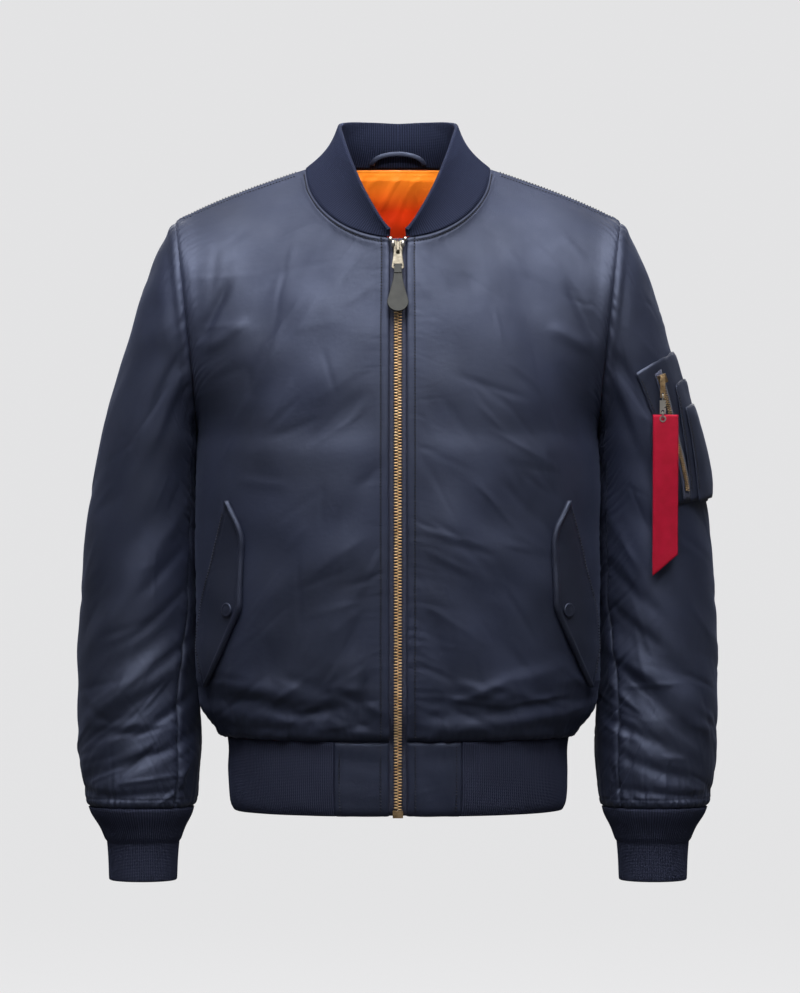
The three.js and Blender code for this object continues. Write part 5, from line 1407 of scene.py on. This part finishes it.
flap_z = np.linspace(-531, -342, 15)[:, None]
flap_share = np.linspace(0, 1, 5)[None, :]
flap_inner, flap_outer = (np.interp(flap_z, FLAP["z"], FLAP[key]) for key in ("inner", "outer"))
flap_x = flap_inner + (flap_outer - flap_inner) * flap_share
flap_pieces, snap_pieces = [], []
SNAP_AT = (35, 7)  # grid point of the flap
SNAP_CAP = np.array([
    [0.3, 0], [7.0, 0], [7.3, 0.5], [7.0, 1.3], [5.9, 1.9], [5.2, 1.5], [3.4, 1.8], [0.3, 2.0],
])
for side_name, sheet, seed, flip in (("left", left_outer, 141, False), ("right", right_outer, 151, True)):
    spots = on_front(sheet, flap_x, flap_z + 0 * flap_x)
    spots = spots + normals(spots) * 4.4
    grid = finer(spots, 6)
    start, end, low, high = edges_of(grid)
    nearest = np.minimum(np.minimum(start, end), np.minimum(low, high) * 1.4)
    relief = 2.2 * hill(start - 3.5, 3.0) - 0.6 * round_edge(nearest, 1.6) - 0.8 * hill(end, 2.2)
    relief -= 0.7 * hill(nearest - 6.5, 1.2)
    relief += puckers(seed, low, end, 8, 10, 2.6, 1.0) + puckers(seed + 1, low, start, 15, 8, 4, 0.35)
    relief += swell(seed + 2, grid[..., 0], grid[..., 2], 40, 0.3)
    straight = normals(grid)
    flap = grid + straight * np.maximum(relief, -1.5)[..., None]
    behind = grid - straight * (2.6 - 0.4 * round_edge(nearest, 1.6)[..., None])
    piece = wall(f"flap_{side_name}_cloth", flap, behind, [nylon_trim.made], flip=flip)
    flap_pieces.append((piece, f"flap_{side_name}", grid))
    stitch_line(iso_path(end[:, ::-1], flap[:, ::-1], 3.0)[6:-6], straight[6:-6, -6], flip=flip)
    spot = flap[SNAP_AT]
    out = straight[SNAP_AT]
    side_way = unit(np.cross(UP, out))
    points, faces = spun(SNAP_CAP, 28)
    placed = (spot + out * 0.15)[None] * ([-1, 1, 1] if flip else [1, 1, 1])
    turns = [side_way[None], unit(np.cross(out, side_way))[None], out[None]]
    if flip:
        turns = [turns[0] * [1, -1, -1], turns[1] * [-1, 1, 1], turns[2] * [-1, 1, 1]]
    snap = repeated(f"snap_{side_name}_cap", points, faces, placed, *turns, [nylon_trim.made])
    snap_pieces.append((snap, f"snap_{side_name}"))
print("flap faces", len(flap_pieces[0][0].data.polygons))

# %% [markdown]
# ## The sleeve pocket
# On the left sleeve sits a pocket with a slanted zip and, on top of it, two pen pockets. Each layer
# is a patch given by the angle round the sleeve and the ring along it, lifted a little more than
# the one below.

# %% Sleeve pocket
left_sleeve = sleeve_sheets["left"]


def on_sleeve(row, degrees):
    """Points of the left sleeve's outer face by ring and angle, between the four nearest points."""
    sheet = left_sleeve
    i, j = row * SLEEVE_ROW_STEPS, degrees / 360 * RING * RING_STEPS
    low, left = np.floor(i).astype(int), np.floor(j).astype(int)
    a, b = (i - low)[..., None], (j - left)[..., None]
    right = (left + 1) % sheet.shape[1]
    return (sheet[low, left] * (1 - b) + sheet[low, right] * b) * (1 - a) + (
        sheet[low + 1, left] * (1 - b) + sheet[low + 1, right] * b
    ) * a


def sleeve_patch(top, foot, rows, columns, lift, steps=6):
    """A patch's grid from its top and foot, each a list of (angle, row), and its outward directions."""
    down, across = np.linspace(0, 1, rows + 1)[:, None], np.linspace(0, 1, columns + 1)
    high, low = (
        [np.interp(across, np.linspace(0, 1, len(edge)), part) for part in zip(*edge)] for edge in (top, foot)
    )
    angle, row = (high[k] + (low[k] - high[k]) * down for k in (0, 1))
    spots = on_sleeve(row, angle)
    grid = finer(spots + normals(spots) * lift, steps)
    return grid, normals(grid)


patch_pieces = []
PATCH_STITCH = 2.8  # from a patch's side


def sewn_patch(name, node, corners, lift, thick, seed, belly=0.0, steps=6, *, size):
    """A patch with turned edges, a stitch line near each side, a few puckers and soft unevenness."""
    grid, straight = sleeve_patch(*corners, *size, lift, steps)
    start, end, low, high = edges_of(grid)
    nearest = np.minimum(np.minimum(start, end), np.minimum(low, high))
    relief = -round_edge(nearest, 1.0) - 0.35 * hill(nearest - 3, 0.8)
    relief += belly * np.clip(nearest / 14, 0, 1) + swell(seed, grid[..., 1], grid[..., 2], 32, 0.3)
    relief += puckers(seed + 1, low, np.minimum(start, end), 8, 9, 2.4, 0.5)
    under = 0.3 * round_edge(nearest, 1.0) - thick
    outer = grid + straight * np.maximum(relief, under + 0.35)[..., None]
    inner = grid + straight * under[..., None]
    piece = wall(name, outer, inner, [nylon_trim.made])
    patch_pieces.append((piece, node, grid))
    line = iso_path(start, outer, PATCH_STITCH)
    stitch_line(line[3:-3], straight[3:-3, 2])
    line = iso_path(end[:, ::-1], outer[:, ::-1], PATCH_STITCH)
    stitch_line(line[3:-3], straight[3:-3, -3])


POCKET_TOP = [(160, 4.1), (190, 4.0), (218, 3.86), (237, 3.6), (253, 3.3), (268, 2.9)]
POCKET = POCKET_TOP, [(160, 8.25), (247, 8.02)]
PEN_POCKET = [(160, 4.9), (223, 4.72)], [(162, 8.15), (235, 8.05)]
PEN_POCKET_FRONT = [(160, 5.65), (218, 5.48)], [(162, 8.12), (226, 8.12)]
sewn_patch("sleeve_pocket_cloth", "sleeve_pocket", POCKET, 3.2, 1.6, 161, size=(7, 10), steps=5)
sewn_patch("pen_pocket_cloth", "pen_pocket", PEN_POCKET, 5.6, 1.1, 171, size=(5, 4))
sewn_patch("pen_pocket_front_cloth", "pen_pocket_front", PEN_POCKET_FRONT, 7.6, 1.1, 181, 1.8, size=(4, 4))

sleeve_tape_grid, straight = sleeve_patch([(237, 3.9), (247, 3.8)], [(232, 8), (242, 7.95)], 8, 1, 4.6, 4)
sleeve_tape = wall("sleeve_zip_tape_woven", sleeve_tape_grid, sleeve_tape_grid - straight * 0.9, [tape.made])
chain_row, chain_angle = np.linspace(4.32, 7.75, 120), np.linspace(242, 237.2, 120)
chain = on_sleeve(chain_row, chain_angle)
chain_up = unit(on_sleeve(chain_row, chain_angle + 2) - chain)
chain_way = unit(np.gradient(chain, axis=0))
chain_out = unit(np.cross(chain_way, chain_up))
outside = normals(left_sleeve, True)[90, 150]
chain_out = chain_out * np.sign(np.sum(chain_out * outside, axis=1, keepdims=True))
chain = chain + chain_out * 5.6
far = lengths(chain[None], 1)[0]
small_teeth = []
SMALL_PITCH = 2.4
for shift, x in ((0.0, 1.45), (SMALL_PITCH / 2, -1.45)):
    want = np.arange(shift, far[-1], SMALL_PITCH)
    at, way, out = (path_at(want, far, path) for path in (chain, chain_way, chain_out))
    beside = unit(np.cross(way, out))
    small_teeth.append((at + beside * x, beside, out, -way))
points, faces = bevelled_block(1.35, 0.7, 0.62, 0.2)
sleeve_teeth = repeated("sleeve_zip_teeth", points, faces, *joined(small_teeth), [brass.made])
print("sleeve patches", [node for _, node, _ in patch_pieces])

# %% [markdown]
# ## The streamer and the hanger loop
# Both are narrow woven strips. The streamer hangs from the sleeve zip's own pull by a clip, a ring
# and an eyelet, and its end is cut at a slant. The loop stands in a low arch at the nape.

# %% Streamer and hanger loop
STREAMER_X, STREAMER_WIDE, STREAMER_TOP_Z, STREAMER_FOOT_Z, STREAMER_SLANT = 258.5, 25.8, -255, -419, 22
HANG_Y = -71.3
up = np.linspace(0, 1, 61)[:, None]
across = np.linspace(0, 1, 13)[None, :]
low_edge = STREAMER_FOOT_Z + STREAMER_SLANT * across
streamer_z = low_edge + (STREAMER_TOP_Z - low_edge) * up
streamer_y = HANG_Y + 8 * (1 - up) ** 1.5 + 1.5 * np.sin(2 * np.pi * up) * (1 - up)
streamer_y = streamer_y + 0.5 * np.sin(3 * np.pi * across) * (1 - up) - 0.6
streamer_y = streamer_y + 0.35 * hill(abs(across - 0.5) - 0.5, 0.07)
streamer_grid = triple(STREAMER_X + STREAMER_WIDE * across, streamer_y, streamer_z)
streamer = wall("streamer_webbing", streamer_grid, streamer_grid + [0, 1.2, 0], [webbing.made])

LOOP_HALF, LOOP_RISE, LOOP_FOOT, LOOP_OFF, LOOP_LEAN, LOOP_CURL = 27, 11.5, 8, 8.2, 7.2, 3
LOOP_WIDE, LOOP_THICK = 5, 1.3
angle = np.pi * np.linspace(0, 1, 41)
loop_path = triple(
    -LOOP_HALF * np.cos(angle),
    NECK_BACK - LOOP_OFF - LOOP_LEAN * np.sin(angle) - LOOP_CURL * np.cos(angle) ** 2,
    LOOP_FOOT + LOOP_RISE * np.sin(angle),
)
loop_way = unit(np.gradient(loop_path, axis=0))
loop_out = unit(triple(0 * angle, -1, 0) - loop_way * (-loop_way[:, 1:2]))
loop_side = unit(np.cross(loop_way, loop_out))
loop_bar = rounded_bar(LOOP_WIDE, LOOP_THICK)
hanger_loop = swept("hanger_loop_strap", loop_path, loop_side, loop_out, loop_bar, [nylon_trim.made])
print("streamer", len(streamer.data.polygons), "loop", len(hanger_loop.data.polygons))

# %% [markdown]
# ## Topstitching
# The rows that show: one 9 mm from each zip edge, two along each shoulder, one round the neck 6 mm
# from the collar, and the ones that hold the hem blocks. Flaps and pockets have noted theirs above.
# All the rows become one mesh of short thread pieces.

# %% Stitches
ZIP_STITCH, NECK_STITCH, SHOULDER_STITCHES, BLOCK_STITCH = 9.0, 6.4, (2.4, 8.4), 6.0
for sheet, flip in ((left_outer, False), (right_outer, True)):
    straight = normals(sheet)
    to_zip, to_top = lengths(sheet, 1), lengths(sheet, 0)
    to_top = to_top[-1:] - to_top
    stitch_line(iso_path(to_zip, sheet, ZIP_STITCH)[2:-2], straight[2:-2, 3], flip=flip)
    neck = slice(4, NECK_COLUMNS * FRONT_STEPS[1] - 1)
    stitch_line(iso_path(to_top[::-1], sheet[::-1], NECK_STITCH, 0)[neck], straight[-4, neck], flip=flip)
    shoulder = slice(NECK_COLUMNS * FRONT_STEPS[1] + 4, -7)
    for distance in SHOULDER_STITCHES:
        line = iso_path(to_top[::-1], sheet[::-1], distance, 0)
        stitch_line(line[shoulder], straight[-3, shoulder], flip=flip)
    block_normal = normals(block_plain)
    far = lengths(block_plain, 1)
    stitch_line(iso_path(far, block_plain, ZIP_STITCH)[2:-1], block_normal[2:-1, 3], flip=flip)
    line = iso_path(far[:, -1:] - far[:, ::-1], block_plain[:, ::-1], BLOCK_STITCH)
    stitch_line(line[2:-1], block_normal[2:-1, -4], flip=flip)
straight = back_straight
to_top = lengths(back_outer, 0)
to_top = to_top[-1:] - to_top
nape = slice((COLUMNS - NECK_COLUMNS) * BACK_STEPS[1] + 3, (COLUMNS + NECK_COLUMNS) * BACK_STEPS[1] - 3)
stitch_line(iso_path(to_top[::-1], back_outer[::-1], NECK_STITCH, 0)[nape], straight[-4, nape])
places, ways, outs = joined(stitch_lines)
turns = np.cross(outs, ways), outs, ways
stitches = repeated("stitches", stitch_points, stitch_faces, places, *turns, [thread.made])
print("stitches", len(places), "faces", len(stitches.data.polygons))

# %% [markdown]
# ## Metal and leather of the construction model
# The slider, pull, stops, clip, ring and eyelet were modelled as exact solids. They keep their shape,
# and all but the stops, ring and eyelet get a small bevel, because a metal edge without one never
# catches the light.

# %% Finishes of the exact parts
HARD = {
    "zip_box": (brass, 0.35), "zip_slider": (nickel, 0.3), "zip_pull": (nickel, 0.3),
    "zip_pull_leather": (leather, 0.35), "zip_stop_left": (nickel, 0), "zip_stop_right": (nickel, 0),
    "sleeve_zip_slider": (brass, 0.5), "sleeve_zip_pull": (brass, 0.2), "streamer_clip": (steel, 0.2),
    "streamer_eyelet": (steel, 0), "streamer_ring": (steel, 0),
}
for name, (look, bevel) in HARD.items():
    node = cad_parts[name]
    node.data.materials.clear()
    node.data.materials.append(look.made)
    if bevel:
        weld = node.modifiers.new("weld", "WELD")
        weld.merge_threshold = 0.01 * MM
        made = node.modifiers.new("bevel", "BEVEL")
        made.width, made.segments, made.limit_method = bevel * MM, 2, "ANGLE"
        made.angle_limit = np.radians(35)
print("exact parts", len(HARD))

# %% [markdown]
# ## What each piece stands for
# Every piece rides on a body of the model, so that it moves with it, and the solid that it
# replaces is hidden. For cloth the flat cut it was made from is printed, worked out from its smooth
# grid before the wrinkles: the widest row, the longest column, and the area.

# %% Pieces and bodies
def cut_of(grid, closed=False):
    """A flat cut's size and area in metres: the grid's longest row and column, and its cells' sum."""
    if closed:
        grid = np.concatenate([grid, grid[:, :1]], axis=1)
    wide, long = lengths(grid, 1)[:, -1].max(), lengths(grid, 0)[-1].max()
    a, b = grid[1:, 1:] - grid[:-1, :-1], grid[1:, :-1] - grid[:-1, 1:]
    area = np.linalg.norm(np.cross(a, b), axis=-1).sum() / 2
    return (round(wide * MM, 3), round(long * MM, 3)), round(area * MM * MM, 4)


NARROWEST = 0.01  # metres: the least width printed for a cut, which the hanger loop is under


def cloth(piece, node, grid, closed=False):
    """Attaches a cloth piece, hides the solid it replaces, and prints its flat cut, worked out from its
    smooth grid.
    """
    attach(piece, "jacket")
    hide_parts(node)
    flat, area = cut_of(grid, closed)
    flat = (max(flat[0], NARROWEST), flat[1])
    print(f"{piece.name:26s} {flat[0] * 1000:5.0f} x {flat[1] * 1000:4.0f} mm  {area * 1e4:6.0f} cm2")


cloth(back, "back", back_plain)
cloth(back_lining, "lining_back", lining_plain)
for piece, node in ((front_left, "front_left"), (front_right, "front_right")):
    cloth(piece, node, front_plain)
for piece, node in sleeve_pieces:
    side_name, part = node.split("_")[1:]
    cloth(piece, node, sleeve_plain[:, SLEEVE_PARTS[part]])
cloth(collar, "collar", collar_face)
cloth(hem_rib, "hem_rib", hem_face)
for piece, node in cuff_pieces:
    cloth(piece, node, cuff_face, True)
for piece, node in block_pieces:
    cloth(piece, node, block_plain)
for piece, node in tape_pieces:
    cloth(piece, node, tape_grid)
for piece, node, grid in flap_pieces:
    cloth(piece, node, grid)
for piece, node, grid in patch_pieces:
    cloth(piece, node, grid)
cloth(sleeve_tape, "sleeve_zip_tape", sleeve_tape_grid)
cloth(streamer, "streamer", streamer_grid)
half_strap = loop_side * LOOP_WIDE / 2
loop_grid = np.stack([loop_path - half_strap, loop_path + half_strap], axis=1)
cloth(hanger_loop, "hanger_loop", loop_grid)
for piece, nodes, slot in (
    (teeth, ["zip_chain"], "brass"),
    (sleeve_teeth, ["sleeve_zip_chain"], "brass"),
    (stitches, [], "nylon"),
    (zip_knobs, [], "steel"),
):
    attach(piece, "jacket")
    if nodes:
        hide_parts(*nodes)
for piece, node in snap_pieces:
    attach(piece, "jacket")
    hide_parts(node)
added = [o for o in bpy.data.objects if o.type == "MESH" and o.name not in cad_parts]
print("pieces added", len(added), "faces", sum(len(o.data.polygons) for o in added))

# %% [markdown]
# ## Floor and light
# The photograph is a catalogue picture: pale, even, with one very broad light above and a little in
# front. It makes the shoulders and chest glow and lets the lower body fall into shadow. The floor is
# round and turns up into a wall all about, so it is pale behind the jacket from every side. It shines
# by itself, as a light table does, but throws no light on the cloth: the edges would turn pale.

# %% Floor and light
FLOOR_Z, FLOOR_RADIUS, FLOOR_BEND, WALL_TOP_Z = -1250, 6500, 2000, 6000
bend = np.linspace(0, np.pi / 2, 17)
flat_radius = np.linspace(20, FLOOR_RADIUS, 14)
bent_radius = FLOOR_RADIUS + FLOOR_BEND * np.sin(bend[1:])
floor_radius = np.concatenate([flat_radius, bent_radius, bent_radius[-1:]])
floor_z = np.concatenate([np.full(14, FLOOR_Z), FLOOR_Z + FLOOR_BEND * (1 - np.cos(bend[1:])), [WALL_TOP_Z]])
AROUND = 96  # points to a ring of the floor
around = 2 * np.pi * np.arange(AROUND) / AROUND
floor_points = triple(
    floor_radius[:, None] * np.cos(around), floor_radius[:, None] * np.sin(around), floor_z[:, None]
)
floor_quads = np.concatenate([grid_quads(len(floor_z), AROUND, True)[:, ::-1], cap_quads(AROUND)])
floor_look = Look("pale_floor", linear(70, 70, 71), 0.9, Specular_IOR_Level=0.1,
                  Emission_Color=linear(226, 226, 227), Emission_Strength=1.0)
floor = new_mesh("floor", floor_points.reshape(-1, 3), floor_quads, [floor_look.made])
floor.visible_glossy = floor.visible_diffuse = False
floor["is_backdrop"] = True


def soft_light(name, place, target, size, power, spread=180):
    """A broad light that looks at a target. The spread is how wide its beam is, in degrees."""
    light = bpy.data.lights.new(name, "AREA")
    light.shape, light.size, light.size_y, light.energy = "RECTANGLE", *size, power
    light.spread = np.radians(spread)
    made = bpy.data.objects.new(name, light)
    bpy.context.collection.objects.link(made)
    made.location = place
    way = np.array(place, float) - np.array(target, float)
    made.rotation_euler = (np.arccos(way[2] / np.linalg.norm(way)), 0, np.arctan2(way[1], way[0]) + np.pi / 2)


soft_light("overhead", (0.0, -1.5, 1.6), (0, -0.1, 0.05), (2.4, 1.5), 21, 80)
soft_light("top", (0.0, -0.45, 2.2), (0, 0, 0), (2.6, 1.6), 80)
soft_light("front", (0.0, -5.5, 0.8), (0, 0, -0.4), (6, 4), 6)
soft_light("back", (0.0, 4.5, 2.2), (0, 0, -0.3), (4, 3), 55, 120)
soft_light("neck", (0.0, -0.6, 0.5), (0, 0.04, -0.02), (0.06, 0.06), 0.06, 16)
world = bpy.data.worlds.new("studio")
bpy.context.scene.world = world
world.use_nodes = True
world.node_tree.nodes["Background"].inputs["Color"].default_value = (1, 1, 1, 1)
world.node_tree.nodes["Background"].inputs["Strength"].default_value = 0.10
bpy.context.scene.view_settings.view_transform = "Standard"

# %% Size and end
low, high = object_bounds()
print("shown", [round(float(v), 4) for v in low], [round(float(v), 4) for v in high])
